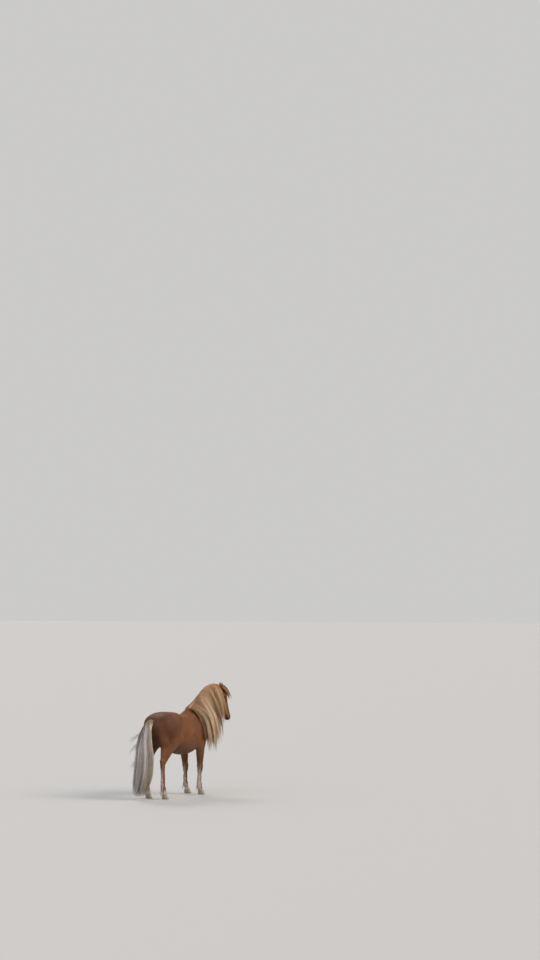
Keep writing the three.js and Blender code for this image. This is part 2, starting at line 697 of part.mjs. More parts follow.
// Wisps the wind lifts from the tail's left side: start on the centreline, reach out, drop
const tailWisps = [
  [0.34, 250, 190],
  [0.42, 200, 260],
  [0.58, 150, 230],
];
function wispLocks() {
  return tailWisps.map(([start, reach, drop]) => {
    const [x, y, z, , width] = along(tailRows, start);
    const path = [0, 0.3, 0.6, 0.85, 1].map((t) => [
      x - 60 * t, y + width * 0.5 + (reach + 40) * t, z - drop * (0.25 * t + 0.95 * t * t - 0.35 * t ** 4),
    ]);
    return lock(path, path.map(() => [-1, 0, 0]), 46, 14);
  });
}
function tailLocks() {
  const draw = drawer(57);
  return Array.from({ length: tailCount }, (_, i) => {
    const angle = (2 * Math.PI * (i * 0.382 + 0.1 * draw())) % (2 * Math.PI);
    const start = 0.04 + 0.3 * ((i * 0.618) % 1);
    const end = Math.min(1, 0.86 + 0.18 * draw());
    const inner = i % 3 ? 1 : 0.45;
    const wave = [(draw() - 0.5) * 26, (draw() - 0.5) * 50];
    const path = [];
    const ways = [];
    for (let k = 0; k <= 4; k++) {
      const share = mix(start, end, k / 4);
      const [x, y, z, depth, width] = along(tailRows, share);
      const spread = k ? (0.66 + 0.28 * Math.sin((Math.PI * k) / 4)) * inner : 0.3;
      const bend = Math.sin((Math.PI * k) / 4 + draw() * 0.5);
      const radial = [Math.cos(angle) * depth * spread, Math.sin(angle) * width * spread, 0];
      path.push(add(add([x, y, z], radial), [wave[0], wave[1], 0], bend * share));
      ways.push(unit([Math.cos(angle) / depth, Math.sin(angle) / width, 0.001]));
    }
    return lock(path, ways, 96 + 30 * draw(), 26 + 8 * draw());
  });
}
const tailCore = () => skinned(Array.from({ length: 9 }, (_, r) => {
  const [x, y, z, depth, width] = along(tailRows, (r / 8) * tailCoreReach);
  const thin = r === 8 ? 0.3 : 0.55;
  return Array.from({ length: 8 }, (_, i) => {
    const angle = (2 * Math.PI * i) / 8;
    return [x + Math.cos(angle) * depth * thin, y + Math.sin(angle) * width * thin, z + (r < 2 ? Math.cos(angle) * 24 : 0)];
  });
}));

// The feather behind a fetlock
function featherLocks(fetlock, list, side, seed) {
  const draw = drawer(seed);
  const field = (p) => forms(p, list, [side]);
  return Array.from({ length: featherCount }, (_, i) => {
    const angle = Math.PI + ((i / (featherCount - 1)) * 2 - 1) * 1.15;
    const out = [Math.cos(angle), Math.sin(angle), 0];
    let p = add(fetlock, out, 20);
    while (field(p) < 0) p = add(p, out, 2);
    const path = [add(p, out, -12)];
    const long = 82 + 30 * draw();
    for (let k = 1; k <= 3; k++) {
      const share = k / 3;
      path.push([p[0] + out[0] * 20 * Math.sin(share * 2), p[1] + out[1] * 16 * Math.sin(share * 2), p[2] - long * share]);
    }
    return lock(path, path.map(() => out), 34 + 8 * draw(), 15);
  });
}

const horse = new THREE.Group();
const coat = new THREE.MeshStandardMaterial({ color: 0x7a4526, roughness: 0.8 });
const horn = new THREE.MeshStandardMaterial({ color: 0x8a7a66, roughness: 0.6 });
const flaxen = new THREE.MeshStandardMaterial({ color: 0xc9ae84, roughness: 0.75 });
const wetEye = new THREE.MeshStandardMaterial({ color: 0x120a06, roughness: 0.08 });

// Adds a solid to the horse as one named mesh.
function node(name, made, material) {
  const kept = settled(made);
  const { vertProperties, triVerts, numProp } = kept.getMesh();
  const positions = new Float32Array((vertProperties.length / numProp) * 3);
  for (let i = 0; i < positions.length / 3; i++)
    positions.set(vertProperties.subarray(i * numProp, i * numProp + 3), i * 3);
  const geometry = new THREE.BufferGeometry();
  geometry.setAttribute("position", new THREE.BufferAttribute(positions, 3));
  geometry.setIndex(new THREE.BufferAttribute(triVerts, 1));
  geometry.computeVertexNormals();
  const mesh = new THREE.Mesh(geometry, material);
  mesh.name = name;
  horse.add(mesh);
  return kept;
}

// The body's own solids, parted where limbs, neck and head begin
const legCuts = [
  block([262, 50, -50], [700, 400, foreCut]),
  block([262, -400, -50], [700, -50, foreCut]),
  block([-900, -400, -50], [-250, 400, hindCut]),
];
let torso = skinOf(body, [-900, -340, 600], [760, 340, 1560], 56);
torso = torso.subtract(behindPlane(neckBase.point, neckBase.normal));
for (const cut of legCuts) torso = torso.subtract(cut);
torso = node("torso", torso, coat);

const headTurnMatrix = new THREE.Matrix4().makeBasis(...[headAxes.down, headAxes.left, headAxes.out]
  .map((axis) => new THREE.Vector3(...axis))).setPosition(...fromHead([250, 0, 40]));
const headBlock = solidOf(new THREE.BoxGeometry(760, 320, 424), headTurnMatrix);
const headRegion = headBlock.intersect(behindPlane(nape.point, nape.normal));
let neckSolid = skinOf(body, [250, -480, 950], [1000, 300, 1900], 50);
neckSolid = neckSolid.intersect(behindPlane(add(neckBase.point, neckBase.normal, gap), neckBase.normal));
neckSolid = neckSolid.subtract(grown(headRegion, gap));

// The head, with sockets, lids, nostrils and the line of the mouth
let headSolid = skinOf(body, [672, -611, 1051], [1120, -60, 1820], 26).intersect(headRegion);
for (const side of [1, -1]) {
  const eye = [eyePlace[0], eyePlace[1] * side, eyePlace[2]];
  const opening = headBall(add(eye, [0, side * 20, 6]), [19, 24, 10.5], -0.3 * side);
  headSolid = headSolid.add(headBall(eye, [28, 27, 27]).subtract(opening));
  const ball = headBall(eye, [eyeRadius, eyeRadius, eyeRadius], 0, 12);
  headSolid = headSolid.subtract(opening).subtract(grown(ball));
  node(side > 0 ? "eye_left" : "eye_right", ball, wetEye);
  headSolid = headSolid.subtract(headBall([507, 42 * side, 8], [17, 16, 9], 0.5 * side));
}
const lipLine = headBall([lips - 8, 0, -40], [70, 60, 3]).subtract(headBall([lips - 60, 0, -34], [58, 26, 40]));
headSolid = headSolid.subtract(lipLine);
headSolid = joined(headSolid, forelockLocks());

// The ears, pricked, each a leaf with its cup open to the front
const ears = [];
for (const side of [1, -1]) {
  const base = fromHead([4, 50 * side, 62]);
  const rise = unit(add(add(add([0, 0, 0], headAxes.down, -0.93), headAxes.left, 0.2 * side), headAxes.out, 0.3));
  const face = unit(add(add([0, 0, 0], headAxes.out, 0.8), headAxes.left, 0.6 * side));
  const front = unit(sub(face, add([0, 0, 0], rise, dot(face, rise))));
  const across = cross(rise, front);
  const leaf = (reach, grow, forward, from) => skinned([from, 0.2, 0.42, 0.66, 0.86].map((t) => {
    const half = (22 + 9 * Math.sin(Math.PI * Math.min(1, t * 1.25))) * (1 - Math.max(t, 0) ** 2.6) + grow;
    const middle = add(add(base, rise, t * reach), front, forward + 10 * t * (1 - t));
    return Array.from({ length: 10 }, (_, i) => {
      const angle = (2 * Math.PI * i) / 10;
      return add(add(middle, across, Math.cos(angle) * half), front, Math.sin(angle) * half * 0.72);
    });
  }), add(add(base, rise, reach), front, forward + 2));
  const ear = leaf(earHeight, 0, 0, -0.12).subtract(leaf(earHeight * 0.93, -5, 12, 0.12));
  const kept = ear.subtract(grown(headSolid));
  ears.push(node(side > 0 ? "ear_left" : "ear_right", kept, coat));
}
headSolid = node("head", headSolid, coat);

// The mane grows from the neck and lies over its neighbours without touching them
neckSolid = joined(neckSolid, maneLocks());
for (const other of [torso, headSolid, ...ears]) neckSolid = neckSolid.subtract(grown(other, hairGap));
node("neck", neckSolid, flaxen);

// The tail meets the croup at its dock
const tail = joined(tailCore(), [...tailLocks(), ...wispLocks()]);
node("tail", tail.subtract(grown(torso)), flaxen);

// Limbs and hooves
const legLevels = (count) => Array.from({ length: count }, (_, i) => i / (count - 1));
for (const [side, sideName] of [[1, "left"], [-1, "right"]]) {
  const step = side > 0 ? leftForeStep : 0;
  const limbs = [
    ["fore", foreLegForms(step), foreCut, [458 + step - foreFootBack, foreFootOut * side, 0], [122, 116], [372 + step - foreFootBack, foreFootOut * side, 158]],
    ["hind", hindStep, hindCut, [-hindFootBack, (hindFootOut + 4) * side, 0], [118, 108], [-670, hindFootOut * side, 162]],
  ];
  for (const [limb, list, top, foot, span, fetlock] of limbs) {
    const horny = node("hoof_" + limb + "_" + sideName, hoof(foot, ...span), horn);
    const feathers = featherLocks([fetlock[0] + 20, fetlock[1], fetlock[2]], list, side, 60 + step + top);
    const leg = joined(legSkin(list, side, top - gap, legLevels(15), 11), feathers);
    node(limb + "leg_" + sideName, leg.subtract(grown(horny)), coat);
  }
}

const box = new THREE.Box3().setFromObject(horse, true);
const middle = ["x", "y"].map((k) => Math.round((box.min[k] + box.max[k]) / 2));
horse.children.forEach((mesh) => mesh.geometry.translate(-middle[0], -middle[1], 0));

export default horse;
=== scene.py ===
# An Icelandic horse with a flaxen mane and tail, standing on a plain studio floor.
import math

import bpy
import numpy as np
from mathutils import Matrix, Vector


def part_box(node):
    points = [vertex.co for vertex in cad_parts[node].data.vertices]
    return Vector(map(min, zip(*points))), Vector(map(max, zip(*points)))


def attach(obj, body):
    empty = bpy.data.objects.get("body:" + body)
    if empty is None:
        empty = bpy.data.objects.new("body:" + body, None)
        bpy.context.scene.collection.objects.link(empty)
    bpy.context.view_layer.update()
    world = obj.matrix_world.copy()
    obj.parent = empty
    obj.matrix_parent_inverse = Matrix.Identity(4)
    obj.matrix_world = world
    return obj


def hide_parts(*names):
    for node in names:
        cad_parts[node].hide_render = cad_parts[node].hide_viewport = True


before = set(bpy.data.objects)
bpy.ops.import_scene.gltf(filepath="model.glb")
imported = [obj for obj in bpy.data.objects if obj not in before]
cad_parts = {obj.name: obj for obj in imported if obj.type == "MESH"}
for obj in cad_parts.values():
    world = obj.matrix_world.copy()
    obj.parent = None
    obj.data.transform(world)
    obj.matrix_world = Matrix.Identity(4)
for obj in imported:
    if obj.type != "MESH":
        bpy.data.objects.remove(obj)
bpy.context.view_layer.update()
draw = np.random.default_rng(11)

# The body's sizes in millimetres: x towards the breast, y to the left, z up, as in the part's source
bodySizes = {
    "bellyBottom": 655, "shoulderWidth": 158, "foreFootOut": 147, "foreFootBack": 14, "hindFootOut": 154,
    "hindFootBack": 632 - 42, "leftForeStep": 40, "headLength": 540, "headScale": 0.96, "headPitch": 68,
    "headTurn": -43, "poll": (832, -208, 1660), "coronetHeight": 74, "eyeRadius": 21,
    "eyePlace": (150, 67, 46), "earHeight": 122, "tailClear": 16,
}


def vec(*values):
    return np.array(values, float)


def unit(v):
    v = np.asarray(v, float)
    return v / np.maximum(np.linalg.norm(v, axis=-1, keepdims=True), 1e-9)


def lerp(a, b, t):
    return a + (b - a) * t


def smoothStep(low, high, v):
    t = np.clip((v - low) / (high - low), 0, 1)
    return t * t * (3 - 2 * t)


def along(rows, t):
    # a smooth curve through rows of numbers: each span is eased between its rows, plus the slopes at its ends
    rows = np.asarray(rows, float)
    t = np.atleast_1d(np.asarray(t, float))
    last = len(rows) - 1
    place = np.clip(t, 0, 1) * last
    i = np.minimum(last - 1, np.floor(place).astype(int))
    f = (place - i)[:, None]
    here, after = rows[i], rows[i + 1]
    slopeHere = (after - rows[np.maximum(i - 1, 0)]) / 2
    slopeAfter = (rows[np.minimum(i + 2, last)] - here) / 2
    h = f * f * (3 - 2 * f)
    return here * (1 - h) + after * h + slopeHere * f * (1 - f) ** 2 - slopeAfter * f * f * (1 - f)


def blend(a, b, fillet):
    # the smaller of two distances, rounded where they are closer than the fillet
    h = np.maximum(fillet - np.abs(a - b), 0) / fillet
    return np.minimum(a, b) - h * h * fillet / 4


def taper(p, start, end, radii, flat=1.0):
    # distance to a rounded cone from start to end, squeezed across y
    start, end = np.array(start, float), np.array(end, float)
    axis = end - start
    t = np.clip((p - start) @ axis / (axis @ axis), 0, 1)
    q = p - start - t[:, None] * axis
    ring = np.sqrt(q[:, 0] ** 2 + (q[:, 1] / flat) ** 2 + q[:, 2] ** 2)
    return (ring - lerp(radii[0], radii[1], t)) * math.sqrt(flat)


# Along the trunk: x, top, bottom, half width and how much narrower it is at the top
trunkRows = np.array([
    [-742, 1150, 1035, 55, 0.0], [-640, 1262, 960, 172, 0.05], [-520, 1330, 895, 226, 0.12],
    [-400, 1353, 850, 244, 0.16], [-280, 1345, 785, 248, 0.22], [-160, 1320, 712, 262, 0.24],
    [-40, 1298, 668, 278, 0.24], [80, 1292, bodySizes["bellyBottom"], 282, 0.28], [200, 1315, 672, 270, 0.42],
    [320, 1362, 702, 238, 0.56], [440, 1350, 735, 205, 0.52], [540, 1250, 800, 172, 0.3],
    [640, 1090, 905, 90, 0.0],
], float)

# Along the neck's middle line: its place, half depth and half width
neckRows = np.array([
    [330, 0, 1120, 235, 140], [465, -4, 1215, 218, 118], [584, -30, 1352, 186, 98], [668, -76, 1492, 154, 84],
    [733, -130, 1610, 134, 76], [800, -180, 1656, 112, 72],
], float)
neckJoints = along(neckRows, np.linspace(0, 1, 11))

# Forms of one side, given for the left: start, end, radii, squeeze across the body, fillet
shoulderForms = [
    ((250, 104, 1215), (520, bodySizes["shoulderWidth"], 1010), (86, 94), 0.7, 90),
    ((545, 148, 985), (385, 166, 830), (88, 84), 0.8, 45),
    ((585, 66, 985), (515, 92, 830), (76, 58), 1, 50),
    ((255, 140, 1060), (335, 164, 815), (112, 60), 0.62, 50),
    ((612, 20, 1170), (598, 40, 1020), (62, 84), 1, 80),
]
haunchForms = [
    ((-270, 132, 1232), (-560, 116, 1165), (92, 130), 0.95, 90),
    ((-475, 140, 1120), (-385, 165, 925), (182, 118), 0.66, 60),
    ((-672, 98, 1120), (-615, 135, 890), (88, 92), 0.8, 55),
    ((-350, 172, 910), (-400, 170, 845), (78, 84), 0.78, 45),
]


def foreLeg(step):
    out = bodySizes["foreFootOut"]
    s = step - bodySizes["foreFootBack"]
    return [
        ((388, 163, 805), (402 + s * 0.5, 150, 470), (88, 50), 0.86, 40),
        ((409 + s * 0.5, 148, 455), (408 + s * 0.6, 148, 395), (50, 45), 0.94, 20),
        ((402 + s * 0.6, 147, 400), (400 + s, out, 175), (31, 30), 1, 16),
        ((379 + s * 0.6, 147, 385), (373 + s, out, 180), (18, 18), 1, 20),
        ((398 + s, out, 162), (390 + s, out, 142), (39, 38), 1, 18),
        ((402 + s, out, 140), (436 + s, out, 84), (34, 40), 1, 18),
    ]


def hindLeg():
    out = bodySizes["hindFootOut"]
    return [
        ((-440, 163, 865), (-628, 155, 592), (118, 54), 0.7, 45),
        ((-600, 142, 880), (-702, 154, 600), (72, 20), 0.7, 40),
        ((-652, 154, 585), (-661, 154, 505), (50, 42), 0.84, 20),
        ((-702, 154, 598), (-688, 154, 520), (22, 22), 1, 22),
        ((-660, 154, 505), (-640, out, 185), (36, 32), 1, 18),
        ((-683, 154, 500), (-666, out, 190), (18, 17), 1, 20),
        ((-640, out, 166), (-648, out, 146), (41, 40), 1, 18),
        ((-635, out, 142), (-598, out + 3, 86), (35, 41), 1, 18),
    ]


headTurn = math.radians(bodySizes["headTurn"])
headPitch = math.radians(bodySizes["headPitch"])
faceTurn = vec(math.cos(headTurn), math.sin(headTurn), 0)
headDown = faceTurn * math.cos(headPitch) - vec(0, 0, math.sin(headPitch))
headOut = faceTurn * math.sin(headPitch) + vec(0, 0, math.cos(headPitch))
headLeft = vec(-faceTurn[1], faceTurn[0], 0)
headAxes = np.array([headDown, headLeft, headOut])
poll = vec(*bodySizes["poll"])
headScale = bodySizes["headScale"]
lips = bodySizes["headLength"] - 18

# Forms of the head in its own frame: down the face from the poll, to its left, out of the face
headMiddle = [
    ((28, 0, 22), (110, 0, 30), (76, 78), 1, 20), ((120, 0, 42), (180, 0, 40), (68, 58), 1, 40),
    ((180, 0, 36), (462, 0, 6), (58, 37), 0.86, 30), ((180, 0, -18), (440, 0, -18), (64, 42), 0.84, 34),
    ((470, 0, -8), (lips - 22, 0, -16), (46, 41), 1, 26),
    ((lips - 22, 0, -24), (lips - 14, 0, -34), (31, 24), 1.2, 18),
    ((462, 0, -46), (lips - 30, 0, -52), (25, 24), 1.15, 12),
]
headPaired = [
    ((98, 38, -46), (158, 36, -62), (84, 76), 0.42, 26), ((190, 26, -82), (440, 12, -44), (40, 22), 1, 26),
    ((120, 70, 12), (290, 52, -2), (22, 13), 1, 26), ((128, 64, 50), (158, 64, 44), (30, 28), 1, 22),
    ((488, 30, 8), (506, 31, 2), (22, 20), 1, 16),
]


def toHead(p):
    return (np.asarray(p, float) - poll) @ headAxes.T / headScale


def fromHead(q):
    return poll + np.asarray(q, float) @ headAxes * headScale


def trunk(p):
    # egg-shaped sections, narrower towards the top line: superellipses in y and z, with rounded ends
    share = np.interp(p[:, 0], trunkRows[:, 0], np.linspace(0, 1, len(trunkRows)))
    _, top, bottom, half, ridge = along(trunkRows, share).T
    tall = (top - bottom) / 2
    up = (p[:, 2] - (top + bottom) / 2) / tall
    wide = half * (1 - ridge * np.clip(up, 0, 1) ** 1.5)
    ring = (np.abs(p[:, 1] / wide) ** 2.25 + np.abs(up) ** 2.25) ** (1 / 2.25)
    beyond = np.maximum(0, np.maximum(trunkRows[0, 0] - p[:, 0], p[:, 0] - trunkRows[-1, 0]))
    least = np.minimum(half, tall)
    return (np.hypot(ring, beyond / (0.62 * least)) - 1) * least


def neck(p):
    # oval sections along a curved line, narrower towards the crest
    least = None
    for a, b in zip(neckJoints[:-1], neckJoints[1:]):
        axis = (b - a)[:3]
        t = np.clip((p - a[:3]) @ axis / (axis @ axis), 0, 1)
        q = p - a[:3] - t[:, None] * axis
        forward = unit(axis)
        left = unit(np.cross([0, 0, 1], forward))
        up = np.cross(forward, left)
        depth, width = lerp(a[3], b[3], t), lerp(a[4], b[4], t)
        high = q @ up / depth
        side = q @ left / (width * (1 - 0.5 * np.clip(high, 0, 1) ** 1.5))
        ring = (np.sqrt(high ** 2 + side ** 2 + (q @ forward / depth) ** 2) - 1) * width
        least = ring if least is None else blend(least, ring, 24)
    return least


def forms(p, listed, sides=(1, -1)):
    least = np.full(len(p), 1e6)
    for side in sides:
        q = p * vec(1, side, 1)
        for start, end, radii, flat, fillet in listed:
            least = blend(least, taper(q, start, end, radii, flat), fillet)
    return least


def nostril(q):
    # a comma-shaped hollow on each side, 1 at its edge
    m = np.abs(q[:, 1])
    return np.sqrt(((q[:, 0] - 505 + 0.5 * (q[:, 2] - 8)) / 13) ** 2 + ((m - 46) / 15) ** 2
                   + ((q[:, 2] - 8) / 6) ** 2)


def mouthCrease(q):
    # 1 along the line between the lips, fading at its corner
    line = np.abs(q[:, 2] + 41 - 0.09 * (q[:, 0] - lips)) / 5
    return np.exp(-line ** 2) * smoothStep(lips - 92, lips - 66, q[:, 0])


def head(p):
    q = toHead(p)
    least = np.full(len(p), 1e6)
    for start, end, radii, flat, fillet in headMiddle:
        least = blend(least, taper(q, start, end, radii, flat), fillet)
    for side in (1, -1):
        mirrored = q * vec(1, side, 1)
        for start, end, radii, flat, fillet in headPaired:
            least = blend(least, taper(mirrored, start, end, radii, flat), fillet)
    least = least * headScale - 3 * np.exp(-((nostril(q) - 1.9) / 0.4) ** 2)
    return -blend(-least, (nostril(q) - 1) * 8, 8) + 5 * mouthCrease(q)


legSides = [(foreLeg(bodySizes["leftForeStep"]), [1]), (foreLeg(0), [-1])]
hindForms = hindLeg()


def legs(p):
    least = np.full(len(p), 1e6)
    for listed, sides in legSides:
        least = np.minimum(least, forms(p, listed, sides))
    return np.minimum(least, forms(p, hindForms))


fieldParts = [  # function, box in which it matters, fillet
    (lambda p: forms(p, haunchForms), (-900, -400, 600), (60, 400, 1560), 110),
    (lambda p: forms(p, shoulderForms), (0, -400, 500), (820, 400, 1500), 50),
    (neck, (-400, -520, 600), (1150, 400, 1960), 115),
    (legs, (-960, -400, -60), (700, 400, 1080), 38),
    (head, (560, -680, 900), (1240, 100, 1960), 34),
]


def body(p):
    # the whole body as one distance, each part filleted into the rest
    d = trunk(p)
    for part, low, high, fillet in fieldParts:
        inside = np.all((p > low) & (p < high), axis=1)
        if inside.any():
            d[inside] = blend(d[inside], part(p[inside]), fillet)
    return d


def slope(p, reach=2.5):
    # the field's gradient from its values on both sides of each point
    found = np.empty_like(p)
    for k in range(3):
        e = np.zeros(3)
        e[k] = reach
        found[:, k] = (body(p + e) - body(p - e)) / (2 * reach)
    return found


eyeFacing = unit(vec(-0.12, 0.95, 0.28))


def eyeFrame(side):
    # an eye's centre, its axis outward, the way along the lids and the way up across them
    axis = eyeFacing * [1, side, 1]
    across = vec(math.cos(0.5), 0, math.sin(0.5))
    across = unit(across - axis * (axis @ across))
    up = np.cross(axis, across)
    return np.array(bodySizes["eyePlace"]) * [1, side, 1], axis, across, up if up[2] > 0 else -up


def eyeHole(p):
    # distance into the openings that the lids cover: an oval tunnel outward from each eye's centre
    q = toHead(p)
    least = np.full(len(p), 1e6)
    for side in (1, -1):
        centre, axis, across, up = eyeFrame(side)
        a, b, c = (q - centre) @ across, (q - centre) @ up, (q - centre) @ axis
        least = np.minimum(least, np.maximum((np.hypot(a / 21, b / 14) - 1) * 14, 3 - c))
    return least


def ontoSkin(p, level, most):
    # each point slides along the gradient until the field has the given level there
    for _ in range(3):
        g = slope(p)
        move = (body(p) - level)[:, None] * g / np.maximum((g * g).sum(1, keepdims=True), 0.05)
        length = np.linalg.norm(move, axis=1, keepdims=True)
        p = p - move * np.minimum(1, most / np.maximum(length, 1e-9))
    return p


eyeCentre = fromHead(bodySizes["eyePlace"])
lowEye, highEye = (np.array(corner) * 1000 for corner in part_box("eye_left"))
middle = eyeCentre - (lowEye + highEye) / 2  # where the part's own origin lies in the body's sizes
middle[2] = 0


def toWorld(p):
    return (np.asarray(p) - middle) / 1000


def addMesh(name, points, faces, material, attributes=None, uv=None, smooth=True):
    # points in millimetres of the body, faces as one array of corner numbers per face
    faces = np.asarray(faces)
    mesh = bpy.data.meshes.new(name)
    mesh.vertices.add(len(points))
    mesh.vertices.foreach_set("co", toWorld(points).astype(np.float32).ravel())
    mesh.loops.add(faces.size)
    mesh.loops.foreach_set("vertex_index", faces.ravel().astype(np.int32))
    mesh.polygons.add(len(faces))
    mesh.polygons.foreach_set("loop_start", np.arange(0, faces.size, faces.shape[1], dtype=np.int32))
    mesh.polygons.foreach_set("use_smooth", np.full(len(faces), smooth))
    mesh.update(calc_edges=True)
    for key, values in (attributes or {}).items():
        kind = "FLOAT_VECTOR" if np.ndim(values) == 2 else "FLOAT"
        layer = mesh.attributes.new(key, kind, "POINT")
        wanted = "vector" if kind == "FLOAT_VECTOR" else "value"
        layer.data.foreach_set(wanted, np.asarray(values, np.float32).ravel())
    if uv is not None:
        layer = mesh.uv_layers.new(name="OFBake")
        layer.data.foreach_set("uv", uv[faces.ravel()].astype(np.float32).ravel())
    mesh.materials.append(material)
    thing = bpy.data.objects.new(name, mesh)
    bpy.context.scene.collection.objects.link(thing)
    return thing


def netOf(field, low, high, cell, coarse=6):
    # a closed net of quads where the field changes sign: one point in each crossed cell
    low, high = np.array(low, float), np.array(high, float)
    n = (np.ceil((high - low) / (cell * coarse)).astype(int) + 1) * coarse
    grid = [low[k] + cell * np.arange(n[k]) for k in range(3)]
    spread = [g[::coarse] + cell * (coarse - 1) / 2 for g in grid]
    rough = np.stack(np.meshgrid(*spread, indexing="ij"), -1).reshape(-1, 3)
    roughValue = field(rough).reshape([len(g[::coarse]) for g in grid])
    value = roughValue.astype(np.float32)
    for k in range(3):
        value = np.repeat(value, coarse, axis=k)
    fine = np.argwhere(np.abs(value) < cell * coarse * 1.15)
    points = np.stack([grid[k][fine[:, k]] for k in range(3)], -1)
    chunks = np.array_split(points, max(1, len(points) // 200000))
    value[tuple(fine.T)] = np.concatenate([field(chunk) for chunk in chunks])
    for k in range(3):
        edge = [slice(None)] * 3
        for side in (0, -1):
            edge[k] = side
            value[tuple(edge)] = 1
    inside = value < 0
    size = n - 1

    def moved(x, y, z):
        # the grid's inside from the given first row, layer and column on, one smaller each way
        return inside[x:x + size[0], y:y + size[1], z:z + size[2]]

    corners = np.array([[c & 1, (c >> 1) & 1, c >> 2] for c in range(8)])
    count = sum(moved(*corner).astype(np.int8) for corner in corners)
    cells = np.argwhere((count > 0) & (count < 8))
    v = np.stack([value[tuple((cells + c).T)] for c in corners], 1)
    total, hits = np.zeros((len(cells), 3)), np.zeros(len(cells))
    for a in range(8):
        for bit in (1, 2, 4):
            if a & bit:
                continue
            b = a | bit
            cross = (v[:, a] < 0) != (v[:, b] < 0)
            t = v[:, a] / np.where(cross, v[:, a] - v[:, b], 1)
            total += np.where(cross[:, None], corners[a] + t[:, None] * (corners[b] - corners[a]), 0)
            hits += cross
    spots = low + cell * (cells + total / hits[:, None])
    number = np.full(n, -1, np.int64)
    number[tuple(cells.T)] = np.arange(len(cells))
    quads = []
    for axis in range(3):
        step, u, w = (np.eye(3, dtype=int)[(axis + k) % 3] for k in range(3))
        here, there = moved(0, 0, 0), moved(*step)
        for start, flip in ((True, False), (False, True)):
            at = np.argwhere((here == start) & (there != start))
            ring = [at - u - w, at - w, at, at - u]
            if flip:
                ring = ring[::-1]
            quads.append(np.stack([number[tuple(r.T)] for r in ring], 1))
    quads = np.concatenate(quads)
    return spots, quads[(quads >= 0).all(1)]


def faceCrosses(points, faces):
    # along each face's normal, from its first three corners, as long as twice their triangle's area
    a, b, c = (points[faces[:, k]] for k in range(3))
    return np.cross(b - a, c - a)


def pointNormals(points, faces):
    # mean of the faces' cross products at each point
    flat = faceCrosses(points, faces)
    total = np.zeros_like(points)
    for k in range(faces.shape[1]):
        np.add.at(total, faces[:, k], flat)
    return unit(total)


# Where each marking or painted shade fades in, from its outer limit to its full strength: places on the body
# or down the head
markingAndShadeFades = {
    "muzzle": (452, 522), "lid": (37, 25), "stocking": (560, 260), "sock": (165, 85), "backOfLeg": (-6, -34),
    "topWidth": (60, 0), "topHeight": (1240, 1330), "rump": (-150, -600), "rumpHeight": (650, 1000),
    "belly": (900, 700), "aboveLegs": (600, 690), "nostril": (1.9, 1.45),
}
markAndShadeNames = ("muzzle", "pale", "top", "rump", "belly", "lid", "recessShade")


def eyeDistance(q):
    # from places in the head's frame to the nearer eye's centre
    eyes = [np.array(bodySizes["eyePlace"]) * [1, side, 1] for side in (1, -1)]
    return np.minimum(*[np.linalg.norm(q - eye, axis=1) for eye in eyes])


def inHead(q):
    return (np.abs(q[:, 1]) < 130) & (q[:, 0] > -60) & (q[:, 2] > -190) & (q[:, 2] < 190) & (q[:, 0] < 620)


def regions(p):
    # shares of special coat and painted shade at each point, with whether it is on the head and how strong
    # the grain is
    q = toHead(p)
    onHead = inHead(q)
    fade = lambda name, where: smoothStep(*markingAndShadeFades[name], where)
    muzzle = fade("muzzle", q[:, 0] + 0.25 * q[:, 2]) * onHead
    legMiddle = np.where(p[:, 0] > 0, 398, -662)
    behind = fade("backOfLeg", p[:, 0] - legMiddle - 12 * (p[:, 1] > 0) * (p[:, 0] > 0))
    pale = fade("stocking", p[:, 2]) * behind
    pale = np.maximum(pale, 0.95 * fade("sock", p[:, 2]))
    # painted shade: the top line and the rump are darkened as if turned away from the light
    top = fade("topWidth", np.abs(p[:, 1])) * fade("topHeight", p[:, 2]) * (p[:, 0] < 420)
    rump = fade("rump", p[:, 0]) * fade("rumpHeight", p[:, 2])
    belly = fade("belly", p[:, 2]) * (p[:, 0] > -460) * (p[:, 0] < 420) * fade("aboveLegs", p[:, 2])
    lid = fade("lid", eyeDistance(q)) * onHead
    # painted shade: the nostrils and the crease between the lips are darkened nearly to black
    recessShade = onHead * np.maximum(fade("nostril", nostril(q)), 0.7 * mouthCrease(q) ** 2)
    return {"muzzle": muzzle, "pale": pale, "top": top, "rump": rump, "belly": belly, "lid": lid,
            "recessShade": recessShade, "grain": grainOf(p), "onHead": onHead * 1.0}


# Metres round and along each region of the unwrap: trunk, neck, head, four legs
chartSizes = {
    "radius": vec(0.27, 0.2, 0.11, 0.05, 0.05, 0.05, 0.05),
    "length": vec(1.4, 0.95, 0.7, 0.8, 0.8, 0.8, 0.8),
}


def grainOf(p):
    # how strongly the grain shows: not at all within 10 mm of the unwrap's edges, where it would smear
    chart, angle, _ = unwrapParts(p)
    radius = chartSizes["radius"][chart] * 1000
    q = toHead(p)
    leg = np.where((p[:, 0] < -230) | (p[:, 0] > 242), np.abs(p[:, 2] - 765), 100)
    sides = np.where(p[:, 2] < 780, np.minimum(np.abs(p[:, 0] + 250), np.abs(p[:, 0] - 262)), 100)
    throat = np.where(p[:, 0] > 410, np.minimum(np.abs(p[:, 2] - 1000), 100), 100)
    withers = np.where(p[:, 2] > 980, np.abs(p[:, 0] - 430), 100)
    nape = np.minimum(np.minimum(np.abs(q[:, 0] + 60), np.abs(q[:, 2] + 190)), np.abs(np.abs(q[:, 1]) - 130))
    near = np.minimum.reduce([(math.pi - np.abs(angle)) * radius, leg, sides, throat, withers, nape])
    return smoothStep(10, 40, near)


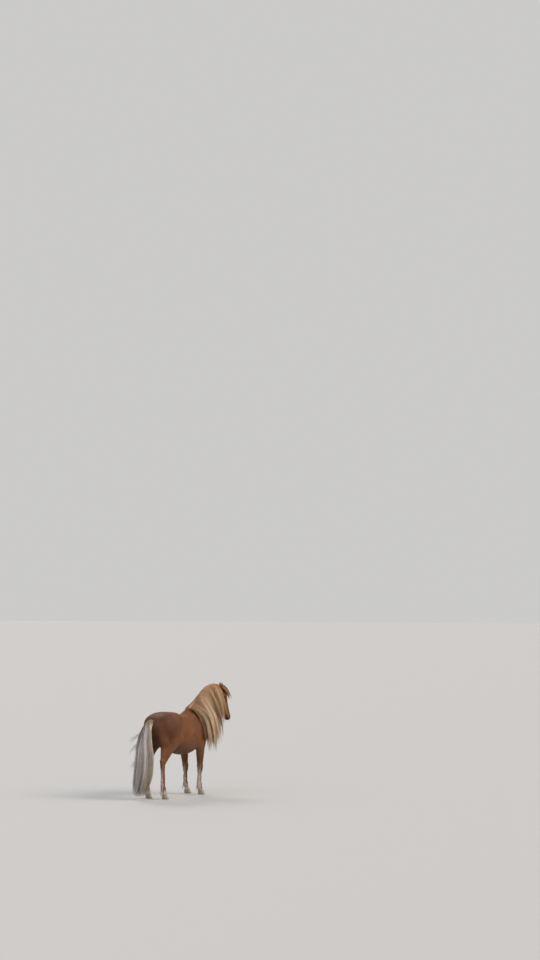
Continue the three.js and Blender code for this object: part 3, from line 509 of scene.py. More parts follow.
def lieOf(p, normals):
    # the way the coat lies: towards the tail on the trunk, down the legs, down the face, back down the neck
    way = np.tile(vec(-0.8, 0, -0.55), (len(p), 1))
    legShare = smoothStep(900, 700, p[:, 2])[:, None]
    way = lerp(way, vec(-0.05, 0, -1), legShare)
    chest = (smoothStep(480, 620, p[:, 0]) * smoothStep(1500, 1200, p[:, 2]))[:, None]
    way = lerp(way, vec(-0.1, 0, -1), chest * (1 - legShare))
    neckShare = (smoothStep(420, 560, p[:, 0]) * smoothStep(1150, 1300, p[:, 2]))[:, None]
    way = lerp(way, vec(-0.45, 0.15, -0.85), neckShare)
    faceShare = regions(p)["onHead"][:, None] * smoothStep(20, 90, toHead(p)[:, 0])[:, None]
    way = lerp(way, headDown, faceShare)
    way = way - normals * (way * normals).sum(1, keepdims=True)
    return unit(way)


def unwrapParts(p):
    # each point's region, its angle round that region's axis, and its share of the way along it
    q = toHead(p)
    leg = (p[:, 2] < 765) & ((p[:, 0] < -250) | (p[:, 0] > 262))
    onHead = inHead(q)
    onNeck = ~onHead & (p[:, 0] > 430) & (p[:, 2] > 1000)
    chart = np.where(leg, 3 + (p[:, 0] > 0) * 2 + (p[:, 1] > 0), np.where(onHead, 2, np.where(onNeck, 1, 0)))
    legX = np.where(p[:, 0] > 0, 402, -650)
    legY = np.where(p[:, 1] > 0, 150, -150)
    which = [leg, onHead, onNeck]
    angle = np.select(which, [
        np.arctan2(p[:, 1] - legY, p[:, 0] - legX),
        np.arctan2(q[:, 1], q[:, 2]),
        np.arctan2(p[:, 1] + 0.55 * (p[:, 0] - 480), p[:, 2] - p[:, 0] - 700),
    ], np.arctan2(p[:, 1], p[:, 2] - 1010))
    share = [p[:, 2] / 800, (q[:, 0] + 60) / 700, (p[:, 2] - 900) / 950]
    return chart, angle, np.select(which, share, (p[:, 0] + 800) / 1400)


def unwrapPlace(p):
    # a place on an unwrap of the skin: a square for each region, its angle across and its length upward
    chart, angle, run = unwrapParts(p)
    u = (angle / (2 * math.pi) + 0.5) * 0.31 + 0.01 + (chart % 3) / 3
    v = np.clip(run, 0, 1) * 0.31 + 0.01 + (chart // 3) / 3
    return np.stack([u, v], 1)


def flowOf(p):
    # metres across and along the coat: round each region and along it, slanted on the trunk
    chart, angle, run = unwrapParts(p)
    slant = np.where(chart == 0, 0.6, 0.0) * np.sign(angle)
    across, down = angle * chartSizes["radius"][chart], run * chartSizes["length"][chart]
    cosine, sine = np.cos(slant), np.sin(slant)
    return np.stack([across * cosine - down * sine, across * sine + down * cosine, chart * 1.0], 1)


# Shader node groups
def newGroup(name, inputs, outputs):
    group = bpy.data.node_groups.new(name, "ShaderNodeTree")
    for label, kind, value in inputs:
        socket = group.interface.new_socket(label, in_out="INPUT", socket_type=kind)
        if value is not None:
            socket.default_value = value
    for label, kind in outputs:
        group.interface.new_socket(label, in_out="OUTPUT", socket_type=kind)
    return group, group.nodes.new("NodeGroupInput"), group.nodes.new("NodeGroupOutput")


def mathNode(tree, operation, a, b):
    node = tree.nodes.new("ShaderNodeMath")
    node.operation = operation
    for socket, value in zip(node.inputs, (a, b)):
        if isinstance(value, (int, float)):
            socket.default_value = value
        else:
            tree.links.new(value, socket)
    return node.outputs[0]


def vectorNode(tree, operation, a, b=None, scale=None):
    node = tree.nodes.new("ShaderNodeVectorMath")
    node.operation = operation
    for socket, value in zip(node.inputs, (a, b)):
        if value is None:
            continue
        if isinstance(value, tuple):
            socket.default_value = value
        else:
            tree.links.new(value, socket)
    if scale is not None:
        if isinstance(scale, (int, float)):
            node.inputs["Scale"].default_value = scale
        else:
            tree.links.new(scale, node.inputs["Scale"])
    return node.outputs["Vector"]


def mixColour(tree, share, a, b):
    node = tree.nodes.new("ShaderNodeMix")
    node.data_type = "RGBA"
    for socket, value in ((node.inputs["Factor"], share), (node.inputs[6], a), (node.inputs[7], b)):
        if isinstance(value, (int, float, tuple)):
            socket.default_value = value
        else:
            tree.links.new(value, socket)
    return node.outputs[2]


def noise(tree, coordinates, scale, detail):
    node = tree.nodes.new("ShaderNodeTexNoise")
    node.inputs["Scale"].default_value = scale
    node.inputs["Detail"].default_value = detail
    node.inputs["Roughness"].default_value = 0.55
    tree.links.new(coordinates, node.inputs["Vector"])
    return node.outputs["Fac"]


def ranged(tree, value, low, high, toLow=0.0, toHigh=1.0):
    node = tree.nodes.new("ShaderNodeMapRange")
    node.inputs["From Min"].default_value, node.inputs["From Max"].default_value = low, high
    node.inputs["To Min"].default_value, node.inputs["To Max"].default_value = toLow, toHigh
    tree.links.new(value, node.inputs["Value"])
    return node.outputs["Result"]


def attribute(tree, name, output="Fac"):
    node = tree.nodes.new("ShaderNodeAttribute")
    node.attribute_name = name
    return node.outputs[output]


def buildGrainGroup():
    # hair grain: noise on the flow coordinates, drawn out eleven times as long along the hair
    inputs = [("Place", "NodeSocketVector", None), ("Flow", "NodeSocketVector", None),
              ("Scale", "NodeSocketFloat", 1.0)]
    outputs = [("Streak", "NodeSocketFloat"), ("Patch", "NodeSocketFloat")]
    group, into, out = newGroup("hairGrain", inputs, outputs)
    stretched = vectorNode(group, "MULTIPLY", into.outputs["Flow"], (1.0, 0.09, 1.0))
    drawn = vectorNode(group, "SCALE", stretched, scale=into.outputs["Scale"])
    fine = mathNode(group, "MULTIPLY", noise(group, drawn, 520, 2.0), 0.6)
    wide = mathNode(group, "MULTIPLY", noise(group, drawn, 110, 3.0), 0.4)
    group.links.new(mathNode(group, "ADD", fine, wide), out.inputs["Streak"])
    group.links.new(noise(group, into.outputs["Place"], 5.0, 4.0), out.inputs["Patch"])
    return group


# How much of each colour a marking lays over the coat, in the order in which they are laid; rump and top lay
# painted shade
markingAndShadeShares = (
    ("rump", 0.6, "Dark"), ("top", 0.4, "Dark"), ("belly", 0.05, "Pale"), ("pale", 0.85, "Pale"),
    ("muzzle", 0.72, "Bare"), ("lid", 0.5, "Bare"),
)


def buildMarkingsAndShadeGroup():
    # the horse's colours and its painted shade, laid over each other by the shares stored on the mesh
    labels = ("Chestnut", "Dark", "Pale", "Bare")
    inputs = [(label, "NodeSocketColor", (0.5, 0.5, 0.5, 1)) for label in labels]
    inputs += [("Patch", "NodeSocketFloat", 0.5)]
    group, into, out = newGroup("chestnutMarkingsAndShade", inputs, [("Color", "NodeSocketColor")])
    patch = ranged(group, into.outputs["Patch"], 0.38, 0.62)
    colour = mixColour(group, mathNode(group, "MULTIPLY", patch, 0.45), into.outputs["Chestnut"],
                       into.outputs["Dark"])
    for name, share, target in markingAndShadeShares:
        cover = mathNode(group, "MULTIPLY", attribute(group, name), share)
        colour = mixColour(group, cover, colour, into.outputs[target])
    # painted shade, nearly black, in the nostrils and along the crease between the lips
    cover = mathNode(group, "MULTIPLY", attribute(group, "recessShade"), 0.9)
    colour = mixColour(group, cover, colour, (0.008, 0.005, 0.005, 1))
    group.links.new(colour, out.inputs["Color"])
    return group


grainGroup = buildGrainGroup()
markingsAndShadeGroup = buildMarkingsAndShadeGroup()


def placeGroup(tree, group, **values):
    node = tree.nodes.new("ShaderNodeGroup")
    node.node_tree = group
    for label, value in values.items():
        if isinstance(value, (int, float, tuple)):
            node.inputs[label].default_value = value
        else:
            tree.links.new(value, node.inputs[label])
    return node


def newMaterial(name, **sockets):
    material = bpy.data.materials.new(name)
    material.use_nodes = True
    tree = material.node_tree
    shader = tree.nodes["Principled BSDF"]
    for label, value in sockets.items():
        shader.inputs[label.replace("_", " ")].default_value = value
    return material, tree, shader


def bumpInto(tree, shader, height, strength, distance):
    node = tree.nodes.new("ShaderNodeBump")
    node.inputs["Strength"].default_value = strength
    node.inputs["Distance"].default_value = distance
    tree.links.new(height, node.inputs["Height"])
    tree.links.new(node.outputs["Normal"], shader.inputs["Normal"])


# dark serves both the coat's random mottling and the painted shade on the top line and rump
coatLook = {
    "chestnut": (0.195, 0.066, 0.020, 1), "dark": (0.062, 0.021, 0.010, 1), "pale": (0.70, 0.62, 0.52, 1),
    "bare": (0.05, 0.032, 0.028, 1), "grainDepth": 0.0022,
}


def coatMaterial(name, onTufts):
    material, tree, shader = newMaterial(name, Roughness=0.62, Specular_IOR_Level=0.28, Sheen_Weight=0.05,
                                         Sheen_Roughness=0.5, Sheen_Tint=(1.0, 0.72, 0.5, 1))
    place = tree.nodes.new("ShaderNodeTexCoord").outputs["Object"]
    grain = placeGroup(tree, grainGroup, Place=place, Flow=attribute(tree, "flow", "Vector"), Scale=1.0)
    marks = placeGroup(tree, markingsAndShadeGroup, Chestnut=coatLook["chestnut"], Dark=coatLook["dark"],
                       Pale=coatLook["pale"], Bare=coatLook["bare"], Patch=grain.outputs["Patch"])
    streak = grain.outputs["Streak"]
    if not onTufts:
        around = mathNode(tree, "MULTIPLY", mathNode(tree, "SUBTRACT", streak, 0.5), attribute(tree, "grain"))
        streak = mathNode(tree, "ADD", around, 0.5)
    light = ranged(tree, streak, 0.3, 0.7, 0.72, 1.25)
    if onTufts:
        tip = ranged(tree, attribute(tree, "share"), 0.0, 1.0, 0.82, 1.2)
        each = ranged(tree, attribute(tree, "tint"), 0.0, 1.0, 0.84, 1.16)
        light = mathNode(tree, "MULTIPLY", light, mathNode(tree, "MULTIPLY", tip, each))
    tree.links.new(vectorNode(tree, "SCALE", marks.outputs["Color"], scale=light),
                   shader.inputs["Base Color"])
    tree.links.new(ranged(tree, streak, 0.3, 0.7, 0.52, 0.72), shader.inputs["Roughness"])
    if not onTufts:
        bumpInto(tree, shader, streak, 0.7, coatLook["grainDepth"])
    return material


# the tail's warm colour is painted warm sunlight, laid on its right side
hairLook = {
    "cream": (0.72, 0.56, 0.39, 1), "creamDark": (0.22, 0.115, 0.05, 1), "gold": (0.62, 0.35, 0.16, 1),
    "silver": (0.74, 0.70, 0.70, 1), "silverDark": (0.20, 0.165, 0.15, 1), "sunlitTail": (0.74, 0.60, 0.43, 1),
    "root": (0.42, 0.19, 0.075, 1),
}


def hairMaterial(name, lightKey, warmKey, darkKey, rootReach):
    # each strand between a light and a dark shade, warmer where its attribute says so, darker at the root
    light, warmLight, dark, root = (hairLook[key] for key in (lightKey, warmKey, darkKey, "root"))
    material, tree, shader = newMaterial(name, Roughness=0.45, Specular_IOR_Level=0.4)
    strand, share = attribute(tree, "tint"), attribute(tree, "share")
    place = tree.nodes.new("ShaderNodeTexCoord").outputs["Object"]
    grain = placeGroup(tree, grainGroup, Place=place, Flow=attribute(tree, "flow", "Vector"), Scale=0.8)
    colour = mixColour(tree, attribute(tree, "warm"), light, warmLight)
    colour = mixColour(tree, ranged(tree, strand, 0.3, 0.95, 0.0, 0.95), colour, dark)
    colour = mixColour(tree, ranged(tree, share, 0.0, rootReach, 0.8, 0.0), colour, root)
    lit = ranged(tree, grain.outputs["Streak"], 0.3, 0.7, 0.75, 1.2)
    tree.links.new(vectorNode(tree, "SCALE", colour, scale=lit), shader.inputs["Base Color"])
    bumpInto(tree, shader, grain.outputs["Streak"], 0.4, 0.001)
    return material


skinMaterial = coatMaterial("chestnutCoat", False)
tuftMaterial = coatMaterial("chestnutTufts", True)
maneMaterial = hairMaterial("flaxenMane", "cream", "gold", "creamDark", 0.5)
tailMaterial = hairMaterial("silverTail", "silver", "sunlitTail", "silverDark", 0.2)
featherMaterial = hairMaterial("paleFeather", "silver", "gold", "creamDark", 0.1)

# The skin
skinLook = {"cell": 10.5, "headCell": 4.0, "coatDepth": 4.0}


def buildSkin():
    # a coarse net of the body and a fine one of the head; where they overlap, the coarse one dips under
    pieces = []
    for low, high, cell, keepHead in (
        ((-900, -340, 60), (1060, 340, 1860), skinLook["cell"], False),
        ((700, -560, 1090), (1130, -20, 1830), skinLook["headCell"], True),
    ):
        field = lambda p: np.maximum(body(p) + skinLook["coatDepth"], -eyeHole(p))
        spots, quads = netOf(field, low, high, cell)
        q = toHead(spots)
        lap = 0 if keepHead else 14
        atHead = (q[:, 0] > 6 + lap) & (q[:, 2] > -178 + lap) & (np.abs(q[:, 1]) < 160) & (q[:, 0] < 640)
        chosen = atHead if keepHead else ~atHead
        quads = quads[chosen[quads].all(1)]
        used = np.unique(quads)
        renumber = np.full(len(spots), -1)
        renumber[used] = np.arange(len(used))
        dip = smoothStep(0, 12, q[used, 0] - 6) * smoothStep(0, 12, q[used, 2] + 178)
        under = 0 if keepHead else 2.0 * dip
        spots = spots[used]
        settled = ontoSkin(spots, -skinLook["coatDepth"] - under, most=cell * 0.6)
        spots = np.where((eyeHole(spots) > 1.5)[:, None], settled, spots)
        pieces.append((spots, renumber[quads]))
    (a, fa), (b, fb) = pieces
    return np.concatenate([a, b]), np.concatenate([fa, fb + len(a)])


skinPoints, skinFaces = buildSkin()
skinNormals = unit(slope(skinPoints))
skinMarks = regions(skinPoints)
flesh = ["torso", "neck", "head", "foreleg_left", "foreleg_right", "hindleg_left", "hindleg_right"]
skin = addMesh("skin", skinPoints, skinFaces, skinMaterial, {**skinMarks, "flow": flowOf(skinPoints)})
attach(skin, "root")
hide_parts(*flesh)
print("skin", len(skinPoints), "points", len(skinFaces), "quads")


# Strands: a tapered prism of three sides carried along each path
def strandMesh(paths, normals, widths, thick):
    # paths: strands x steps x 3; each ring is a flat triangle across the path, and the last step is the tip
    count, steps, _ = paths.shape
    sides = 3
    way = unit(np.gradient(paths, axis=1))
    across = unit(np.cross(way, normals))
    out = np.cross(across, way)
    share = np.linspace(0, 1, steps)
    full = np.minimum(1, 0.6 + share * 2) * (1 - share ** 2.6)
    w = (widths[:, None] * full[None, :] / 2)[:, :-1, None, None]
    t = (thick[:, None] * np.sqrt(full)[None, :] / 2)[:, :-1, None, None]
    turns = (2 * np.pi * (np.arange(sides) + 0.25) / sides)[None, None, :, None]
    rings = paths[:, :-1, None, :] + w * np.cos(turns) * across[:, :-1, None, :]
    rings = rings + t * np.sin(turns) * out[:, :-1, None, :]
    rings = rings.reshape(count, (steps - 1) * sides, 3)
    points = np.concatenate([rings, paths[:, -1:, :]], axis=1).reshape(-1, 3)
    per = (steps - 1) * sides + 1
    r, k = np.meshgrid(np.arange(steps - 2), np.arange(sides), indexing="ij")
    a, b = (r * sides + k).ravel(), (r * sides + (k + 1) % sides).ravel()
    one = np.concatenate([np.stack([a, b, b + sides], 1), np.stack([a, b + sides, a + sides], 1)])
    k = np.arange(sides)
    base = (steps - 2) * sides
    one = np.concatenate([one, np.stack([base + k, base + (k + 1) % sides, np.full(sides, per - 1)], 1)])
    one = np.concatenate([one, [[2, 1, 0]]])
    faces = (one[None] + per * np.arange(count)[:, None, None]).reshape(-1, 3)
    ringShare = np.concatenate([np.repeat(share[:-1], sides), [1.0]])
    soft = np.concatenate([np.repeat(normals[:, :-1], sides, axis=1), normals[:, -1:]], axis=1).reshape(-1, 3)
    return points, faces, np.tile(ringShare, count), soft, per


def outwardFaces(points, faces, per):
    # turns all faces when those of the first prisms look towards the prisms' middles
    some = faces[:200]
    centre = points.reshape(-1, per, 3).mean(1)[some[:, 0] // per]
    facing = (faceCrosses(points, some) * (points[some].mean(1) - centre)).sum()
    return faces if facing > 0 else faces[:, ::-1]


def addStrands(name, paths, normals, widths, thick, tint, material, node, roots, marks=None,
               softness=0.0):
    # strands in meshes of fewer than 190,000 triangles; softness turns their shading towards the body's
    steps = paths.shape[1]
    each = (steps - 2) * 6 + 4
    most = 190000 // each
    for n, start in enumerate(range(0, len(paths), most)):
        cut = slice(start, start + most)
        points, faces, share, soft, per = strandMesh(paths[cut], normals[cut], widths[cut], thick[cut])
        faces = outwardFaces(points, faces, per)
        count = len(paths[cut])
        home = np.repeat(unwrapPlace(roots[cut]), per, axis=0)
        ring = np.tile(np.arange(per) % 3 / 3, count)
        uv = home + 0.003 * np.stack([ring, share], 1)
        long = np.repeat(np.linalg.norm(np.diff(paths[cut], axis=1), axis=2).sum(1) / 1000, per)
        flow = np.stack([ring * np.repeat(widths[cut], per) / 1000, share * long,
                         np.repeat(tint[cut] * 40, per)], 1)
        values = {"share": share, "tint": np.repeat(tint[cut], per), "flow": flow}
        for key, value in (marks or {}).items():
            values[key] = np.repeat(value[cut], per)
        thing = addMesh(f"{name}_{n + 1}", points, faces, material, values, uv)
        if softness:
            own = pointNormals(points, faces)
            turned = unit(lerp(own, unit(soft), softness)).astype(np.float32)
            thing.data.normals_split_custom_set_from_vertices(turned)
        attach(thing, "root")
        if node:
            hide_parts(node)
        print(thing.name, count, "strands", len(faces), "triangles")


# Short coat: small tufts that lie along the body
tuftLook = {
    "count": 62800, "lift": 0.03, "length": 17, "longerBelly": 12, "longerBreast": 10, "longerJaw": 16,
    "longerChin": 8, "widths": (1.6, 4.2),
}


def buildTufts():
    # roots scattered by area, denser on the head and the lower legs, with a path of three points from each
    tri = np.concatenate([skinFaces[:, [0, 1, 2]], skinFaces[:, [0, 2, 3]]])
    area = np.linalg.norm(faceCrosses(skinPoints, tri), axis=1)
    a, b, c = (skinPoints[tri[:, k]] for k in range(3))
    centre = (a + b + c) / 3
    weight = area * (1 + 2.2 * regions(centre)["onHead"] + 1.2 * smoothStep(420, 120, centre[:, 2]))
    pick = draw.choice(len(tri), tuftLook["count"], p=weight / weight.sum())
    fromCorner, acrossFace = np.sqrt(draw.random(len(pick))), draw.random(len(pick))
    mixed = [1 - fromCorner, fromCorner * (1 - acrossFace), fromCorner * acrossFace]
    root = sum(m[:, None] * skinPoints[tri[pick, k]] for k, m in enumerate(mixed))
    normal = unit(sum(m[:, None] * skinNormals[tri[pick, k]] for k, m in enumerate(mixed)))
    marks = regions(root)
    lie = lieOf(root, normal)
    side = np.cross(normal, lie)
    lie = unit(lie + side * draw.normal(0, 0.16, (len(root), 1)))
    q = toHead(root)
    jaw = marks["onHead"] * smoothStep(-60, -110, q[:, 2])
    chin = marks["onHead"] * smoothStep(-40, -60, q[:, 2]) * smoothStep(430, 480, q[:, 0])
    bellyHair = smoothStep(820, 690, root[:, 2]) * (np.abs(root[:, 0]) < 420)
    atBreast = smoothStep(520, 620, root[:, 0]) * (1 - marks["onHead"])
    length = tuftLook["length"] + tuftLook["longerBelly"] * bellyHair + tuftLook["longerBreast"] * atBreast
    length = length * (1 - 0.55 * marks["onHead"]) * (1 - 0.35 * smoothStep(420, 150, root[:, 2]))
    length = length * (1 - 0.5 * marks["muzzle"])
    length = length + tuftLook["longerJaw"] * jaw + tuftLook["longerChin"] * chin
    length = length * draw.uniform(0.75, 1.25, len(root))
    onHead = marks["onHead"] > 0
    roundNostril = (q[:, 0] > 478) & (np.abs(q[:, 1]) > 26) & (q[:, 2] > -10)
    keep = ~(onHead & ((eyeDistance(q) < 35) | roundNostril))
    lie, length = lie[keep], length[keep]
    breast = 0.4 * smoothStep(560, 640, root[:, 0]) * (marks["onHead"] < 0.5)
    fluffy = np.maximum(bellyHair, np.maximum(jaw, breast))[keep]
    root, normal = root[keep], normal[keep]
    lift = (tuftLook["lift"] + 0.1 * fluffy[:, None]) * draw.uniform(0.6, 1.5, (len(root), 1))
    first = root - normal * 1.5
    second = root + lie * length[:, None] * 0.5 + normal * (length[:, None] * lift + 0.3)
    tipHeight = length[:, None] * lift * 0.9 + draw.uniform(-1.2, 0.2, (len(root), 1))
    third = root + lie * length[:, None] + normal * tipHeight
    paths = np.stack([first, second, third], 1)
    normals = np.repeat(normal[:, None], 3, axis=1)
    widths = np.clip(length * 0.2, *tuftLook["widths"]) * 1.25
    marks = {k: v[keep] for k, v in marks.items() if k not in ("onHead", "grain")}
    addStrands("shortCoat", paths, normals, widths, widths * 0.22, draw.random(len(root)), tuftMaterial,
               None, root, marks, softness=0.9)


buildTufts()


# Long hair: guide paths fall over the body, and strands follow each guide, drawing together at the tips
def neckFrame(share):
    here = along(neckRows, share)
    forward = unit((along(neckRows, share + 0.02) - along(neckRows, share - 0.02))[:, :3])
    left = unit(np.cross([0, 0, 1], forward))
    return here[:, :3], here[:, 3:4], forward, left, np.cross(forward, left)


def reachTo(level, inside, way, far, halvings):
    # how far along each ray the field has the given level, by halving between inside and outside
    near, away = np.zeros(len(inside)), np.full(len(inside), far)
    for _ in range(halvings):
        half = (near + away) / 2
        within = body(inside + way * half[:, None]) < level
        near, away = np.where(within, half, near), np.where(within, away, half)
    return near


def onSkin(inside, way, far=400.0):
    return inside + way * reachTo(0, inside, way, far, 16)[:, None]


def fallGuides(root, way, length, clear, droop, comb=(0, 0, -1), free=0, steps=22):
    # marches each guide on in equal steps, bent along the comb and pushed out to its clearance from the skin
    p, heading = root.copy(), unit(way)
    out = unit(slope(p))
    paths, ways = [p - out * 8], [out]
    step = (length / steps)[:, None]
    for i in range(1, steps + 1):
        before = p
        drawn = np.clip((p[:, 2] - free + 100) / 200, 0, 1)[:, None]
        heading = unit(heading + unit(lerp(vec(0, 0, -1), comb, drawn)) * droop[:, None])
        p = p + heading * step
        depth = body(p)
        g = unit(slope(p, 6))
        out = np.where((depth < 70)[:, None], unit(lerp(out, g, 0.35)), out)
        need = np.maximum(clear * min(1, i / 4) - depth, 0)
        p = p + g * need[:, None]
        heading = unit(p - before)
        paths.append(p)
        ways.append(out)
    return np.stack(paths, 1), np.stack(ways, 1)


def strandsFrom(paths, ways, perGuide, spread, depth, wave, gather=0.7, flyaway=0.05, steps=14):
    # strands start spread round their guide's root, draw in towards it by the gather share and wave a little
    rows = paths.shape[1]
    pick = np.linspace(0, rows - 1, steps)
    low = np.minimum(pick.astype(int), rows - 2)
    f = (pick - low)[None, :, None]
    centre = paths[:, low] * (1 - f) + paths[:, low + 1] * f
    normal = unit(ways[:, low] * (1 - f) + ways[:, low + 1] * f)
    way = unit(np.gradient(centre, axis=1))
    side = unit(np.cross(way, normal))
    centre, normal, side = (np.repeat(v, perGuide, axis=0) for v in (centre, normal, side))
    count = len(centre)
    share = np.linspace(0, 1, steps)[None, :, None]
    a = draw.normal(0, 1, (count, 1, 1)) * spread
    b = np.abs(draw.normal(0, 1, (count, 1, 1))) * depth
    close = 1 - gather * share ** 1.4
    swing = wave * draw.uniform(0.5, 1.5, (count, 1, 1)) * share
    loose = (draw.random((count, 1, 1)) < flyaway) * 3.0 + 1.0
    phase = draw.uniform(0, 2 * np.pi, (count, 1, 1))
    turns = draw.uniform(1.0, 2.4, (count, 1, 1))
    moved = centre + side * (a * close + swing * loose * np.sin(phase + turns * 2 * np.pi * share)) \
        + normal * (b * close * np.minimum(1, share * 6)
                    + 0.35 * swing * loose * np.cos(phase * 1.7 + turns * 5 * share))
    cut = draw.uniform(0.72, 1.0, count)  # strands end at different lengths
    pick = cut[:, None] * np.linspace(0, 1, steps)[None, :] * (steps - 1)
    low = np.minimum(pick.astype(int), steps - 2)
    f = (pick - low)[..., None]
    rows = np.arange(count)[:, None]
    return moved[rows, low] * (1 - f) + moved[rows, low + 1] * f, normal


maneLook = {
    "rightLocks": 220, "leftLocks": 92, "strandsPerLock": 22, "layers": (3, 12, 26), "width": 4.8,
    "leftShare": 0.42,
    # lengths along the neck, from the withers to the poll
    "lengths": ((440,), (700,), (900,), (970,), (930,), (790,), (560,)),
    "slants": (0.52, 0.22), "free": (1130, 1300), "ragged": 0.08,
}


def buildMane():
    for side, locks in ((-1, maneLook["rightLocks"]), (1, maneLook["leftLocks"])):
        share = lerp(0.17 if side < 0 else 0.25, 1.0, (np.arange(locks) + draw.random(locks)) / locks)
        layer = np.arange(locks) % 3
        centre, depth, forward, left, up = neckFrame(share)
        lean = unit(up + left * side * (0.04 + 0.14 * layer[:, None]) + 0.05 * draw.normal(0, 1, (locks, 3)))
        root = onSkin(centre + up * depth * 0.5, lean)
        length = along(maneLook["lengths"], share)[:, 0] * (1 if side < 0 else maneLook["leftShare"])
        length = length * draw.uniform(0.84, 1.1, locks)
        rise = 0.12 + 0.3 * share - 0.2 * share ** 6 + 0.15 * draw.random(locks)
        rise = rise * (0.25 + 0.3 * layer) * (1 if side < 0 else 0.5)
        ahead = 0.35 - 0.3 * share + 0.2 * draw.normal(0, 1, locks)
        way = left * side + up * rise[:, None] + forward * ahead[:, None]
        clear = np.array(maneLook["layers"])[layer] * draw.uniform(0.8, 1.2, locks)
        slant = lerp(*maneLook["slants"], share ** 2) + maneLook["ragged"] * draw.normal(0, 1, locks)
        comb = vec(0.25, -0.1, -1)
        if side < 0:
            comb = np.stack([slant, np.full(locks, -0.06), np.full(locks, -1.0)], 1)
        paths, ways = fallGuides(root, way, length, clear, np.full(locks, 0.26), comb,
                                 lerp(*maneLook["free"], share))
        strands, normals = strandsFrom(paths, ways, maneLook["strandsPerLock"], spread=13, depth=4, wave=9,
                                       steps=13)
        count = len(strands)
        lockTint = np.repeat(draw.random(locks) ** 1.5, maneLook["strandsPerLock"])
        tint = np.clip(lockTint * 0.85 + draw.random(count) * 0.35, 0, 1)
        lockWarm = smoothStep(0.1, 0.9, share + 0.35 * draw.normal(0, 1, locks)) * 0.8
        warm = np.repeat(lockWarm, maneLook["strandsPerLock"])
        widths = maneLook["width"] * draw.uniform(0.6, 1.3, count)
        addStrands("mane_right" if side < 0 else "mane_left", strands, normals, widths, widths * 0.4, tint,
                   maneMaterial, "neck", strands[:, 0], {"warm": warm}, softness=0.35)


buildMane()
forelockLook = {"locks": 64, "strandsPerLock": 14, "length": (130, 240), "width": 3.4}


def buildForelock():
    n = forelockLook["locks"]
    spread = draw.uniform(-1, 1, n)
    back = draw.uniform(0, 1, n) ** 0.7
    start = fromHead(np.stack([lerp(34, -34, back), spread * 30, np.full(n, 10.0)], 1))
    root = onSkin(start, unit(headOut - headDown * back[:, None] * 0.7), 200)
    way = headDown + headLeft * (spread * 0.35)[:, None] + headOut * draw.uniform(0.0, 0.25, (n, 1))
    length = draw.uniform(*forelockLook["length"], n) + 50 * back
    paths, ways = fallGuides(root, way, length, draw.uniform(4, 24, n), np.full(n, 0.2), headDown)
    strands, normals = strandsFrom(paths, ways, forelockLook["strandsPerLock"], spread=7, depth=4, wave=5,
                                   steps=11)
    widths = forelockLook["width"] * draw.uniform(0.6, 1.3, len(strands))
    addStrands("forelock", strands, normals, widths, widths * 0.4, draw.random(len(strands)) * 0.8,
               maneMaterial, None, strands[:, 0], {"warm": np.full(len(strands), 0.9)},
               softness=0.3)


buildForelock()
tailLook = {
    "locks": 150, "strandsPerLock": 25, "width": 6.4,
    # centreline with half depth and half width, from the dock down
    "rows": (
        (-700, 0, 1222, 26, 30), (-792, 8, 1194, 42, 56), (-850, 34, 1085, 56, 94), (-876, 46, 885, 64, 132),
        (-888, 34, 640, 70, 176), (-890, 60, 400, 72, 184), (-890, 104, 180, 60, 150),
        (-890, 140, bodySizes["tailClear"] + 6, 40, 96),
    ),
    # wisps that the wind lifts: start on the centreline, reach to the left, drop
    "wisps": ((0.34, 250, 190), (0.42, 200, 260), (0.58, 150, 230)), "wispsEach": 4, "strandsPerWisp": 9,
    "wispWidth": 2.6, "wispThickness": 1.2,
}


